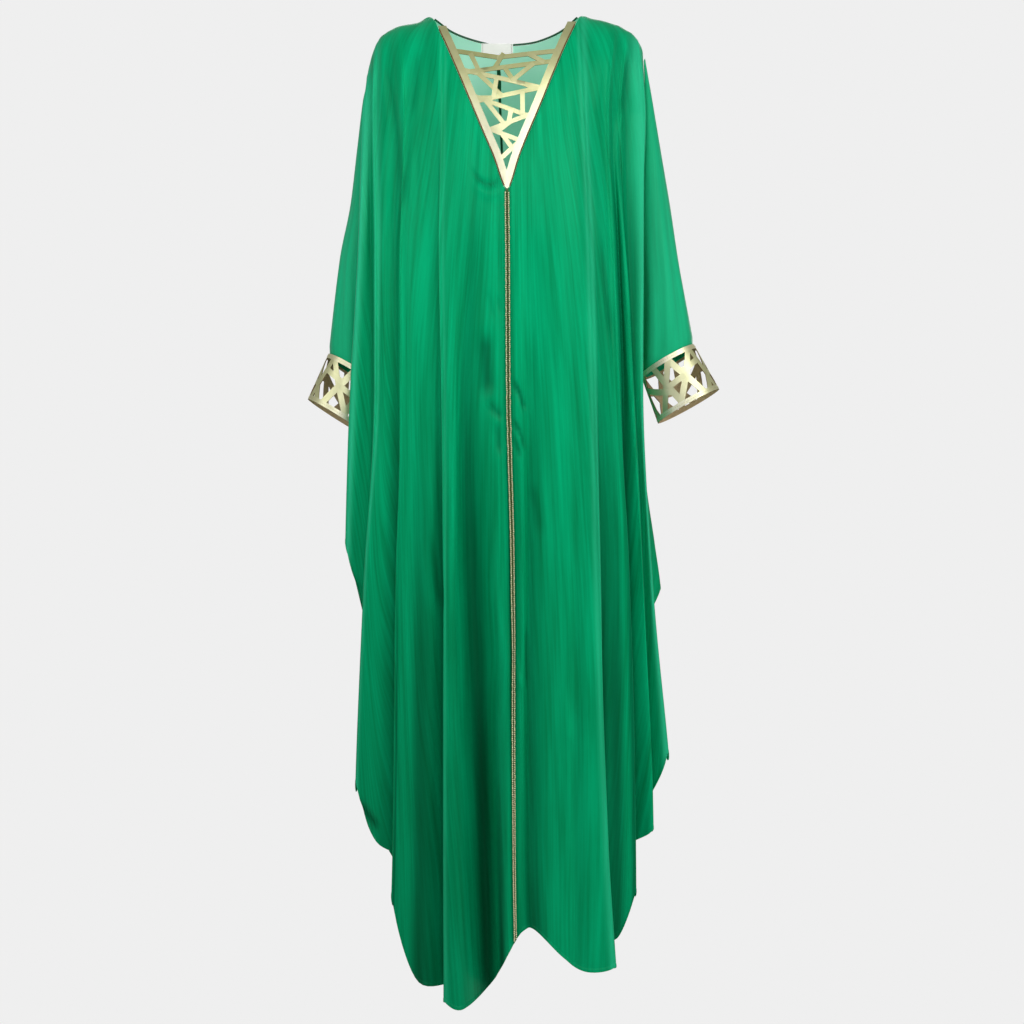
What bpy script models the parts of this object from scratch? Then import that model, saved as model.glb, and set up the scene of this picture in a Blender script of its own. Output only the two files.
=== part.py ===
"""Maxi kaftan held open by an invisible wearer, modelled piece by piece.

Metres, +Z up, the front faces -Y. The origin is the middle of the line between
the two neck points of the shoulder seams. Tables are in millimetres: "across"
is X, "drop" is the distance below the origin and "out" is the distance in front
of the origin for the front panels, and behind it for the back panel.
"""
import math

import bpy
import numpy as np
from mathutils.geometry import delaunay_2d_cdt

for old in list(bpy.data.objects):
    bpy.data.objects.remove(old, do_unlink=True)

MM = 0.001

# Thickness of each material and the gaps between the pieces
SILK_WALL = 1.2
LEATHER_WALL = 1.4
BRAID_WALL = 1.6
LABEL_WALL = 1.0
SEAM_GAP = 0.6
CENTRE_GAP = 0.8
INSERT_GAP = 1.2
EDGE_SPACE = 1.35
EDGE_INSET = 1.6
LAID_GAP = 0.5
BRAID_LIFT = 0.9

# Widths of the trims
NECK_BAND = 11.5
BRAID_WIDTH = 7.5
CUFF_BORDER = 7.0
CUFF_BAR = 6.0
INSERT_BAR = 5.6
BINDING_RADIUS = 1.5
CORD_SIDES = 6
SLIT_BINDING_WIDTH = 3.0

# The two grids of a panel: columns between fold lines, rows from top to hem
COLUMNS_PER_FOLD = 2
PANEL_ROWS = 16
FRONT_ROW_POWER = 1.3
BACK_ROW_POWER = 1.6
SLEEVE_COLUMNS = 14
SLEEVE_ROWS = 13

# Drops at which every fold line is given: chest, bust, wrist, knee, calf, hem
STATIONS = (150, 350, 560, 850, 1250, 1450)

# A rolled edge: share of the way to its neighbours at the shoulder, depth of its full roll
ROLL_SPREAD = 0.2
ROLL_DEPTH = 70
ROLL_FLAT = 3

# fold, start across, start drop, crest drop, crest round, hem drop, roll of a folded edge.
# Left is the left of a viewer who faces the front. The seam lines follow the sleeves.
FRONT_FOLDS = (
    ("left_seam", -214, 104, 99, 12, 800, 0),
    ("left_under_1", -212, 96, 94, 45, 796, 0),
    ("left_edge_1", -210, 82, 82, 55, 836, 12),
    ("left_under_2", -205, 61, 61, 70, 958, 0),
    ("left_edge_2", -198, 41, 41, 90, 1186, 10),
    ("left_face_2", -189, 29, 29, 110, 1246, 0),
    ("left_under_3", -177, 21, 21, 130, 1278, 0),
    ("left_edge_3", -162, 14, 14, 150, 1362, 10),
    ("left_face_3", -135, 9, 9, 190, 1455, 0),
    ("left_under_4", -115, 1, 1, 215, 1456, 0),
    ("left_edge_4", -97, 35, 0, 235, 1490, 9),
    ("left_ridge_5", -74, 89, 0, 250, 1494, 0),
    ("left_valley_5", -47, 154, 0, 260, 1463, 0),
    ("left_ridge_6", -22.5, 212, 0, 260, 1428, 0),
    ("centre", 0, 267, 0, 260, 1393, 0),
    ("right_ridge_6", 20, 214, 0, 260, 1376, 0),
    ("right_valley_5", 41, 162, 0, 260, 1376, 0),
    ("right_ridge_5", 65, 103, 0, 250, 1416, 0),
    ("right_soft_4", 89.5, 44, 0, 235, 1438, 0),
    ("right_edge_4", 111, -2, -2, 215, 1442, 9),
    ("right_under_4", 129, 3, 3, 195, 1392, 0),
    ("right_face_3", 145, 6, 6, 170, 1390, 0),
    ("right_edge_3", 161, 11, 11, 150, 1338, 7),
    ("right_under_3", 170, 14, 14, 135, 1260, 0),
    ("right_ridge_2", 180, 20, 20, 120, 1240, 8),
    ("right_valley_2", 189, 25, 25, 105, 1196, 0),
    ("right_edge_2", 198, 35, 35, 85, 1142, 11),
    ("right_under_2", 205, 51, 51, 65, 955, 0),
    ("right_seam", 207, 64, 59, 12, 866, 0),
)

# fold, across at the stations, out at the stations
FRONT_RUNS = (
    ("left_under_1", (-210, -201, -186, -214, -214, -214), (20, 48, 46, 30, 30, 30)),
    ("left_edge_1", (-217, -222, -231, -240, -240, -240), (25, 64, 66, 58, 58, 58)),
    ("left_under_2", (-206, -205, -203, -204, -208, -208), (29, 64, 72, 72, 68, 68)),
    ("left_edge_2", (-199, -196, -196, -213, -226, -226), (36, 82, 97, 97, 92, 92)),
    ("left_face_2", (-184, -182, -182, -190, -196, -194), (48, 87, 104, 108, 106, 106)),
    ("left_under_3", (-167, -167, -165, -158, -152, -150), (60, 90, 106, 108, 106, 106)),
    ("left_edge_3", (-153, -158, -157, -164, -168, -174), (72, 104, 119, 127, 130, 132)),
    ("left_face_3", (-129, -130, -130, -130, -130, -132), (86, 112, 124, 133, 138, 140)),
    ("left_under_4", (-105, -104, -102, -90, -76, -74), (96, 117, 121, 120, 115, 116)),
    ("left_edge_4", (-96, -99, -96, -94, -93, -92), (99, 121, 129, 140, 150, 154)),
    ("left_ridge_5", (-74, -78, -78, -78, -70, -66), (105, 126, 134, 142, 154, 160)),
    ("left_valley_5", (-46, -50, -62, -52, -34, -29), (108, 128, 122, 105, 108, 116)),
    ("left_ridge_6", (-22, -22, -20, -15, -10, -6), (110, 131, 136, 133, 148, 152)),
    ("centre", (0, 1, 2, 8, 10, 13), (111, 130, 130, 119, 143, 149)),
    ("right_ridge_6", (20, 20, 21, 25, 24, 28), (110, 131, 134, 128, 144, 150)),
    ("right_valley_5", (40, 39, 40, 38, 38, 44), (108, 127, 124, 116, 128, 136)),
    ("right_ridge_5", (66, 74, 80, 80, 82, 84), (104, 126, 134, 140, 150, 154)),
    ("right_soft_4", (90, 104, 106, 110, 112, 116), (98, 119, 126, 134, 143, 147)),
    ("right_edge_4", (116, 124, 130, 137, 149, 161), (86, 110, 120, 130, 137, 140)),
    ("right_under_4", (125, 136, 140, 141, 133, 138), (80, 106, 112, 116, 114, 114)),
    ("right_face_3", (137, 148, 154, 163, 165, 166), (72, 98, 110, 114, 112, 112)),
    ("right_edge_3", (150, 158, 166, 183, 191, 192), (64, 91, 105, 108, 106, 106)),
    ("right_under_3", (158, 167, 174, 176, 178, 178), (54, 72, 85, 80, 71, 71)),
    ("right_ridge_2", (170, 176, 186, 202, 217, 217), (47, 75, 90, 88, 84, 84)),
    ("right_valley_2", (180, 184, 193, 205, 208, 208), (38, 61, 75, 68, 60, 60)),
    ("right_edge_2", (206, 204, 203, 217, 246, 246), (29, 62, 72, 70, 66, 66)),
    ("right_under_2", (208, 193, 188, 200, 212, 212), (17, 46, 46, 34, 30, 30)),
)

BACK_FOLDS = (
    ("left_seam", -214, 104, 97, 24, 798, 0),
    ("left_under_7", -211, 92, 92, 45, 800, 0),
    ("left_edge_7", -205, 60, 60, 70, 828, 12),
    ("left_under_6", -193, 33, 33, 100, 1060, 0),
    ("left_edge_6", -180, 22, 22, 130, 1216, 10),
    ("left_face_5", -162, 14, 14, 150, 1300, 0),
    ("left_under_4", -135, 9, 9, 180, 1352, 0),
    ("left_edge_4", -115, 1, 1, 200, 1392, 10),
    ("left_ridge_3", -86, 21, 0, 205, 1424, 0),
    ("left_valley_2", -62, 31, 0, 205, 1430, 0),
    ("left_ridge_1", -33, 39, 0, 205, 1406, 0),
    ("centre", -6, 42, 0, 205, 1388, 0),
    ("right_ridge_1", 33, 39, 0, 205, 1384, 0),
    ("right_valley_2", 62, 31, 0, 205, 1402, 0),
    ("right_ridge_3", 86, 19, 0, 205, 1422, 0),
    ("right_edge_4", 111, -2, -2, 200, 1384, 10),
    ("right_under_4", 131, 4, 4, 180, 1340, 0),
    ("right_face_5", 158, 10, 10, 150, 1290, 0),
    ("right_edge_6", 178, 19, 19, 125, 1204, 10),
    ("right_under_6", 192, 28, 28, 100, 1096, 0),
    ("right_edge_7", 200, 40, 40, 75, 1030, 11),
    ("right_under_7", 205, 53, 53, 60, 905, 0),
    ("right_seam", 207, 64, 59, 12, 864, 0),
)

BACK_RUNS = (
    ("left_under_7", (-209, -202, -187, -214, -214, -214), (20, 44, 44, 28, 28, 28)),
    ("left_edge_7", (-209, -221, -231, -237, -237, -237), (27, 56, 60, 56, 56, 56)),
    ("left_under_6", (-190, -191, -194, -190, -188, -188), (36, 60, 68, 72, 78, 78)),
    ("left_edge_6", (-178, -184, -190, -202, -208, -208), (46, 72, 86, 96, 104, 104)),
    ("left_face_5", (-152, -156, -160, -160, -162, -162), (58, 82, 94, 106, 118, 118)),
    ("left_under_4", (-128, -131, -134, -124, -118, -118), (70, 90, 98, 102, 108, 110)),
    ("left_edge_4", (-114, -120, -126, -132, -138, -140), (77, 97, 109, 126, 142, 146)),
    ("left_ridge_3", (-88, -92, -96, -98, -100, -100), (83, 104, 114, 130, 150, 154)),
    ("left_valley_2", (-62, -64, -66, -64, -60, -58), (87, 105, 106, 104, 108, 112)),
    ("left_ridge_1", (-34, -34, -35, -36, -34, -32), (90, 112, 118, 133, 152, 156)),
    ("centre", (-6, -3, 0, 2, 2, 2), (90, 110, 110, 108, 112, 114)),
    ("right_ridge_1", (34, 34, 36, 40, 42, 42), (90, 112, 119, 134, 154, 158)),
    ("right_valley_2", (62, 63, 64, 68, 72, 72), (87, 105, 106, 106, 112, 116)),
    ("right_ridge_3", (88, 92, 95, 99, 102, 103), (83, 104, 113, 128, 146, 150)),
    ("right_edge_4", (116, 122, 128, 136, 146, 148), (77, 97, 108, 122, 136, 138)),
    ("right_under_4", (130, 133, 136, 128, 124, 124), (69, 89, 96, 100, 106, 106)),
    ("right_face_5", (152, 156, 160, 162, 162, 162), (58, 81, 92, 102, 112, 112)),
    ("right_edge_6", (178, 184, 190, 202, 208, 208), (46, 70, 84, 94, 102, 102)),
    ("right_under_6", (190, 188, 188, 190, 194, 194), (35, 58, 66, 66, 70, 70)),
    ("right_edge_7", (206, 203, 200, 214, 226, 226), (28, 58, 62, 62, 62, 62)),
    ("right_under_7", (207, 195, 190, 198, 198, 198), (21, 42, 42, 30, 30, 30)),
)

# inner across, inner drop, outer across, outer drop, half depth, half mouth, shift
LEFT_SLEEVE = (
    (-206.6, 104, -211, 100, 1.9, 1.5, 0),
    (-207.2, 130, -217, 122, 9, 7, 0),
    (-206, 205, -227, 202, 18, 12, 0),
    (-203, 285, -237, 285, 30, 17, 0),
    (-200, 371, -253, 365, 35, 19, -1),
    (-195, 467, -262, 441, 36, 15, -3),
    (-191, 559, -270, 511, 33, 0.9, -4),
)
RIGHT_SLEEVE = (
    (207, 67, 209, 63, 1.9, 1.5, 0),
    (207, 90, 213, 86, 5, 4, 0),
    (206.5, 122, 218.2, 115, 9, 7, 0),
    (203, 205, 233, 204, 18, 12, 0),
    (198.5, 285, 246.6, 285, 31, 17, 0),
    (195.4, 376, 260, 371, 38, 19, -1),
    (197, 474, 272.7, 442, 39, 15, -3),
    (203, 542, 283, 497, 36, 0.9, -4),
)

# Side seams below the wrists: drop, across
LEFT_SIDE_SEAM = ((610, -184), (700, -197), (800, -213), (960, -216))
RIGHT_SIDE_SEAM = ((610, 204), (700, 210), (800, 224), (870, 233), (960, 236))

# Mouth of each cuff: inner across and drop, outer across and drop, half depth, lean
LEFT_CUFF_MOUTH = (-211, 636, -301, 580, 40, 0.10)
RIGHT_CUFF_MOUTH = (229, 616, 321, 565, 40, 0.12)

# The opening behind the neck: top and foot of the slit, its widest place and width
SLIT_TOP = 62
SLIT_FOOT = 240
SLIT_WIDE_AT = 100
SLIT_WIDTH = 7.5

# Cutwork of the neck: level and sag of its top bar, uneven rungs below, forward crown
INSERT_TOP = 50
INSERT_SAG = 11
INSERT_RUNGS = 7
INSERT_PITCH = 21
INSERT_CROWN = 9
INSERT_START = 5

# Cutwork of a cuff: flat length of one turn, height, bars and bends
CUFF_TURN = 268
CUFF_HEIGHT = 74
CUFF_GAP = 0.9
CUFF_LONG_BARS = 9
CUFF_CROSS_BARS = 7
CUFF_BENDS = 9

# Where the left panel's ridge rolls over the centre seam
CENTRE_TUCK = {"drop": 965, "reach": 70, "across": 8, "out": 3}

LABEL_SIZE = (48, 12)
LABEL_PLACE = (-15, 48)


def smooth(knots, values, at):
    """Monotone cubic through the knots, held constant beyond both ends."""
    knots = np.asarray(knots, float)
    values = np.asarray(values, float)
    at = np.clip(at, knots[0], knots[-1])
    width = np.diff(knots)
    slope = np.diff(values) / width
    tangent = np.zeros_like(values)
    before, after = slope[:-1], slope[1:]
    same = before * after > 0
    blend = 2 * before * after / np.where(same, before + after, 1)
    tangent[1:-1] = np.where(same, blend, 0)
    tangent[0], tangent[-1] = slope[0], slope[-1]
    cell = np.clip(np.searchsorted(knots, at, side="right") - 1, 0, len(width) - 1)
    part = (at - knots[cell]) / width[cell]
    rise = values[cell + 1] - values[cell]
    start = tangent[cell] * width[cell]
    end = tangent[cell + 1] * width[cell]
    bend = 3 * rise - 2 * start - end
    twist = start + end - 2 * rise
    return values[cell] + part * (start + part * (bend + part * twist))


def across_folds(lines, place):
    """Catmull-Rom curve through the fold lines, read at the fractional places."""
    before = 2 * lines[:1] - lines[1:2]
    after = 2 * lines[-1:] - lines[-2:-1]
    padded = np.concatenate([before, lines, after])
    cell = np.clip(np.floor(place).astype(int), 0, len(lines) - 2)
    part = place - cell
    if lines.ndim == 1:
        p0, p1, p2, p3 = (padded[cell + k] for k in range(4))
    else:
        p0, p1, p2, p3 = (np.take_along_axis(padded, (cell + k)[None], axis=0)[0] for k in range(4))
    straight = part * (p2 - p0)
    bend = part ** 2 * (2 * p0 - 5 * p1 + 4 * p2 - p3)
    twist = part ** 3 * (3 * p1 - p0 - 3 * p2 + p3)
    return 0.5 * (2 * p1 + straight + bend + twist)


def sleeve_point(sections, along, around):
    """Sleeve surface: along runs from shoulder to wrist, around from front to back seam."""
    rows = np.asarray(sections, float)
    steps = np.arange(len(rows))
    place = np.asarray(along) * (len(rows) - 1)
    inner_x, inner_d, outer_x, outer_d, half, mouth, shift = (
        smooth(steps, rows[:, c], place) for c in range(7))
    gap = np.arcsin(np.clip(mouth / half, 0, 1))
    angle = (2 * np.asarray(around) - 1) * (math.pi - gap)
    swing = 0.5 + 0.5 * np.cos(angle)
    x = inner_x + (outer_x - inner_x) * swing
    drop = inner_d + (outer_d - inner_d) * swing
    y = shift + half * np.sin(angle)
    return x, y, drop


def seam_line(sleeve, side_seam, toward):
    """Knots of the seam edge of a panel: armhole, then side seam below the wrist."""
    along = np.linspace(0, 1, 41)
    edge = 0 if toward < 0 else 1
    x, y, drop = sleeve_point(sleeve, along, np.full(len(along), edge))
    x = x - np.sign(x) * EDGE_INSET
    out = y * toward + EDGE_SPACE
    low = np.asarray(side_seam, float)
    rest = np.full(len(low), EDGE_SPACE / 2)
    return (np.concatenate([drop, low[:, 0]]), np.concatenate([x, low[:, 1]]),
            np.concatenate([out, rest]))


def rolled(folds, runs):
    """Fold lines with their runs, each rolled edge as two lines as thick as it overlaps."""
    run_of = {name: (across, out) for name, across, out in runs}
    lines = []
    for i, (name, start_x, start, crest, spread, hem, roll) in enumerate(folds):
        across, out = run_of.get(name, (None, None))
        if roll == 0:
            lines.append((name, start_x, start, crest, spread, across, out, hem))
            continue
        turned = 1 if name.startswith("left") else -1
        under = run_of[folds[i - turned][0]][0]
        over = [min(1, max(0, (inner - edge) * turned / roll)) for inner, edge in zip(under, across)]
        own = (start_x, start, crest, spread)
        for order, beside in ((-1, folds[i - 1]), (1, folds[i + 1])):
            top = [value + ROLL_SPREAD * (other - value) for value, other in zip(own, beside[1:5])]
            line_x = tuple(x + order * ROLL_FLAT * (1 - r) for x, r in zip(across, over))
            line_out = tuple(v + 0.5 * order * turned * roll * r * min(1, v / ROLL_DEPTH)
                             for v, r in zip(out, over))
            lines.append((name, *top, line_x, line_out, hem))
    return tuple(lines)


def fold_line(fold, seams, drop):
    """Across and out of one fold line at the given drops, before the crest rounds it."""
    name, start_x, start, _, _, across, out, _ = fold
    if name in seams:
        knots, x, away = seams[name]
        return smooth(knots, x, drop), smooth(knots, away, drop)
    below = [i for i, station in enumerate(STATIONS) if station > start + 25]
    knots = [start] + [STATIONS[i] for i in below]
    x = smooth(knots, [start_x] + [across[i] for i in below], drop)
    away = smooth(STATIONS, out, drop)
    if name == "left_ridge_6":
        roll = np.exp(-((drop - CENTRE_TUCK["drop"]) / CENTRE_TUCK["reach"]) ** 2)
        x = x + CENTRE_TUCK["across"] * roll
        away = away + CENTRE_TUCK["out"] * roll
    return x, away


def column_values(folds, key, place):
    """One value of the fold table, carried smoothly across the columns."""
    return across_folds(np.array([float(fold[key]) for fold in folds]), place)


def panel_point(panel, place, drop):
    """Panel surface: place counts fold lines from the left seam, drop is the height."""
    folds, seams, toward = panel
    pairs = [fold_line(fold, seams, drop) for fold in folds]
    x = across_folds(np.array([pair[0] for pair in pairs]), place)
    out = across_folds(np.array([pair[1] for pair in pairs]), place)
    crest = column_values(folds, 3, place)
    spread = column_values(folds, 4, place)
    turn = np.clip((drop - crest) / np.maximum(spread, 1), 0, 1)
    out = SEAM_GAP + (out - SEAM_GAP) * np.sqrt(1 - (1 - turn) ** 2)
    return x, toward * out


def panel_grid(panel, first, last, power):
    """Places and drops of a panel between two fold lines, from its start to its hem."""
    folds = panel[0]
    place = np.linspace(first, last, (last - first) * COLUMNS_PER_FOLD + 1)
    top = column_values(folds, 2, place)
    hem = column_values(folds, 7, place)
    part = np.linspace(0, 1, PANEL_ROWS + 1) ** power
    drop = top[:, None] + (hem - top)[:, None] * part[None, :]
    return np.repeat(place[:, None], PANEL_ROWS + 1, axis=1), drop


def to_points(x, y, drop):
    """Millimetre arrays as one array of points in metres."""
    return np.stack([x, y, -drop], axis=-1) * MM


def grid_faces(columns, rows, flip):
    """Quads of a grid whose points are stored column by column."""
    faces = []
    for i in range(columns - 1):
        for j in range(rows - 1):
            a = i * rows + j
            quad = (a, a + 1, a + rows + 1, a + rows)
            faces += triangles(quad[::-1] if flip else quad)
    return faces


def triangles(quad):
    """The two triangles of a quad."""
    a, b, c, d = quad
    return [(a, b, c), (a, c, d)]


def material(name, colour, roughness, metallic):
    """A plain finish in the colour of the piece."""
    made = bpy.data.materials.new(name)
    made.use_nodes = True
    shader = made.node_tree.nodes["Principled BSDF"]
    shader.inputs["Base Color"].default_value = (*colour, 1)
    shader.inputs["Roughness"].default_value = roughness
    shader.inputs["Metallic"].default_value = metallic
    made.diffuse_color = (*colour, 1)
    return made


SILK = material("green_silk_satin", (0.0, 0.32, 0.13), 0.42, 0.0)
LEATHER = material("gold_leather", (0.75, 0.68, 0.36), 0.3, 0.8)
BEADS = material("bronze_bead_braid", (0.22, 0.18, 0.05), 0.35, 0.7)
BINDING = material("dark_green_binding", (0.0, 0.12, 0.05), 0.5, 0.0)
RIBBON = material("white_label_ribbon", (0.85, 0.85, 0.83), 0.6, 0.0)

garment = bpy.data.collections.new("maxi_kaftan")
bpy.context.scene.collection.children.link(garment)


def add_wall(name, points, normals, faces, finish, wall):
    """A closed wall whose middle is the sheet, half its thickness to either side."""
    points = points.reshape(-1, 3)
    half = normals.reshape(-1, 3) * wall * MM / 2
    count = len(points)
    sides = {(a, b) for face in faces for a, b in zip(face, face[1:] + face[:1])}
    solid = list(faces) + [tuple(v + count for v in face[::-1]) for face in faces]
    for a, b in sorted(sides):
        if (b, a) not in sides:
            solid += triangles((b, a, a + count, b + count))
    mesh = bpy.data.meshes.new(name)
    mesh.from_pydata(np.concatenate([points + half, points - half]).tolist(), [], solid)
    mesh.materials.append(finish)
    piece = bpy.data.objects.new(name, mesh)
    garment.objects.link(piece)
    return piece


def unit(vectors):
    """The vectors at length one."""
    return vectors / np.maximum(np.linalg.norm(vectors, axis=-1, keepdims=True), 1e-9)


def grid_normals(points, sign):
    """Normals of a grid, halfway between the turns of its lines, sign +1 or -1."""
    down = unit(np.diff(points, axis=1))
    down = unit(np.concatenate([down[:, :1], down], axis=1) + np.concatenate([down, down[:, -1:]], axis=1))
    across = np.diff(points, axis=0)
    total = np.zeros_like(points)
    for step in (np.concatenate([across[:1], across]), np.concatenate([across, across[-1:]])):
        total += unit(step - np.sum(step * down, axis=-1, keepdims=True) * down)
    return sign * unit(np.cross(down, total))


def front_grid():
    """Points and normals of the whole front, column by column."""
    place, drop = panel_grid(FRONT, 0, len(FRONT_NAMES) - 1, FRONT_ROW_POWER)
    x, y = panel_point(FRONT, place, drop)
    points = to_points(x, y, drop)
    return points, grid_normals(points, 1)


def add_fronts():
    """The two front halves, their centre edges half a gap from the seam."""
    points, normals = front_grid()
    middle = FRONT_CENTRE * COLUMNS_PER_FOLD
    for name, part, edge, beside in (("front_left", slice(0, middle + 1), -1, -2),
                                     ("front_right", slice(middle, None), 0, 1)):
        half = points[part].copy()
        half[edge] += unit(half[beside] - half[edge]) * CENTRE_GAP / 2 * MM
        faces = grid_faces(half.shape[0], half.shape[1], flip=False)
        add_wall(name, half, normals[part], faces, SILK, SILK_WALL)


def slit_half_width(drop):
    """Half width of the back slit: a drop shape, widest near its top."""
    knots = (SLIT_TOP, SLIT_WIDE_AT, SLIT_FOOT)
    return smooth(knots, (0, SLIT_WIDTH / 2, 0), drop)


def back_grid():
    """Points and normals of the back, the rows along its slit and the slit's half widths."""
    place, drop = panel_grid(BACK, 0, len(BACK_NAMES) - 1, BACK_ROW_POWER)
    x, y = panel_point(BACK, place, drop)
    points = to_points(x, y, drop)
    width = slit_half_width(drop[BACK_CENTRE * COLUMNS_PER_FOLD])
    return points, grid_normals(points, -1), np.flatnonzero(width > 0), width


def add_backs():
    """The two back halves, parted along the centre seam and wider along the slit."""
    points, normals, _, width = back_grid()
    middle = BACK_CENTRE * COLUMNS_PER_FOLD
    for name, part, edge, beside in (("back_left", slice(0, middle + 1), -1, -2),
                                     ("back_right", slice(middle, None), 0, 1)):
        half = points[part].copy()
        apart = (CENTRE_GAP / 2 + width)[:, None] * MM
        half[edge] += unit(half[beside] - half[edge]) * apart
        faces = grid_faces(half.shape[0], half.shape[1], flip=True)
        add_wall(name, half, normals[part], faces, SILK, SILK_WALL)


def add_sleeve(name, sections):
    """A sleeve from the armhole to the wrist, open toward the body like a long mouth."""
    around = np.linspace(0, 1, SLEEVE_COLUMNS + 1)[:, None]
    along = np.linspace(0, 1, SLEEVE_ROWS + 1)[None, :]
    around, along = np.broadcast_arrays(around, along)
    x, y, drop = sleeve_point(sections, along, around)
    points = to_points(x, y, drop)
    on_right = sections[0][0] > 0
    normals = grid_normals(points, -1 if on_right else 1)
    faces = grid_faces(*around.shape, flip=on_right)
    return add_wall(name, points, normals, faces, SILK, SILK_WALL)


def strip(start, end, width):
    """Corners of a straight bar between two points of a flat sheet."""
    start, end = np.asarray(start, float), np.asarray(end, float)
    along = (end - start) / np.linalg.norm(end - start)
    side = np.array([-along[1], along[0]]) * width / 2
    return [tuple(start - side), tuple(end - side), tuple(end + side), tuple(start + side)]


def cut_sheet(strips, lines, keep):
    """Flat sheet made of overlapping strips, cut by lines, as points and triangles."""
    points = []
    for a, b, c, d in strips:
        turn = (c[0] - a[0]) * (d[1] - b[1]) - (c[1] - a[1]) * (d[0] - b[0])
        points += [a, b, c, d] if turn > 0 else [d, c, b, a]
    faces = [list(range(4 * i, 4 * i + 4)) for i in range(len(strips))]
    edges = []
    for line in lines:
        edges.append((len(points), len(points) + 1))
        points += list(line)
    verts, _, tris, _, _, source = delaunay_2d_cdt(points, edges, faces, 0, 0.001)
    flat = np.array([(v[0], v[1]) for v in verts])
    solid = []
    for tri, covers in zip(tris, source):
        middle = flat[list(tri)].mean(axis=0)
        if covers and keep(middle):
            solid.append(tuple(tri))
    used = sorted({v for tri in solid for v in tri})
    number = {v: i for i, v in enumerate(used)}
    return flat[used], [tuple(number[v] for v in tri) for tri in solid]


def uneven(index, step):
    """A repeatable uneven fraction between 0 and 1 for the index."""
    return (index * step) % 1.0


FRONT_SEAMS = {
    "left_seam": seam_line(LEFT_SLEEVE, LEFT_SIDE_SEAM, -1),
    "right_seam": seam_line(RIGHT_SLEEVE, RIGHT_SIDE_SEAM, -1),
}
BACK_SEAMS = {
    "left_seam": seam_line(LEFT_SLEEVE, LEFT_SIDE_SEAM, 1),
    "right_seam": seam_line(RIGHT_SLEEVE, RIGHT_SIDE_SEAM, 1),
}
FRONT = (rolled(FRONT_FOLDS, FRONT_RUNS), FRONT_SEAMS, -1)
BACK = (rolled(BACK_FOLDS, BACK_RUNS), BACK_SEAMS, 1)
FRONT_NAMES = [fold[0] for fold in FRONT[0]]
BACK_NAMES = [fold[0] for fold in BACK[0]]
FRONT_CENTRE = FRONT_NAMES.index("centre")
BACK_CENTRE = BACK_NAMES.index("centre")


def neck_edge():
    """The V edge of the front from neck point to neck point, at the panel's own columns."""
    first = FRONT_NAMES.index("left_under_4")
    last = FRONT_NAMES.index("right_edge_4")
    place = np.linspace(first, last, (last - first) * COLUMNS_PER_FOLD + 1)
    drop = column_values(FRONT[0], 2, place)
    x, y = panel_point(FRONT, place, drop)
    return x, y, drop


def insert_out(edge, x, drop):
    """Forward depth of the neck insert: that of the V edge at its level and a soft crown."""
    edge_x, edge_y, edge_drop = edge
    low = int(np.argmax(edge_drop))
    order = np.argsort(edge_drop[:low + 1])
    level = edge_drop[:low + 1][order]
    out = np.interp(drop, level, -edge_y[:low + 1][order])
    reach = np.maximum(np.interp(drop, level, -edge_x[:low + 1][order]), 8)
    crown = INSERT_CROWN * np.clip(1 - (x / reach) ** 2, 0, 1) * np.clip(reach / 60, 0, 1)
    return out + crown * np.clip(drop / INSERT_TOP, 0, 1)


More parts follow.
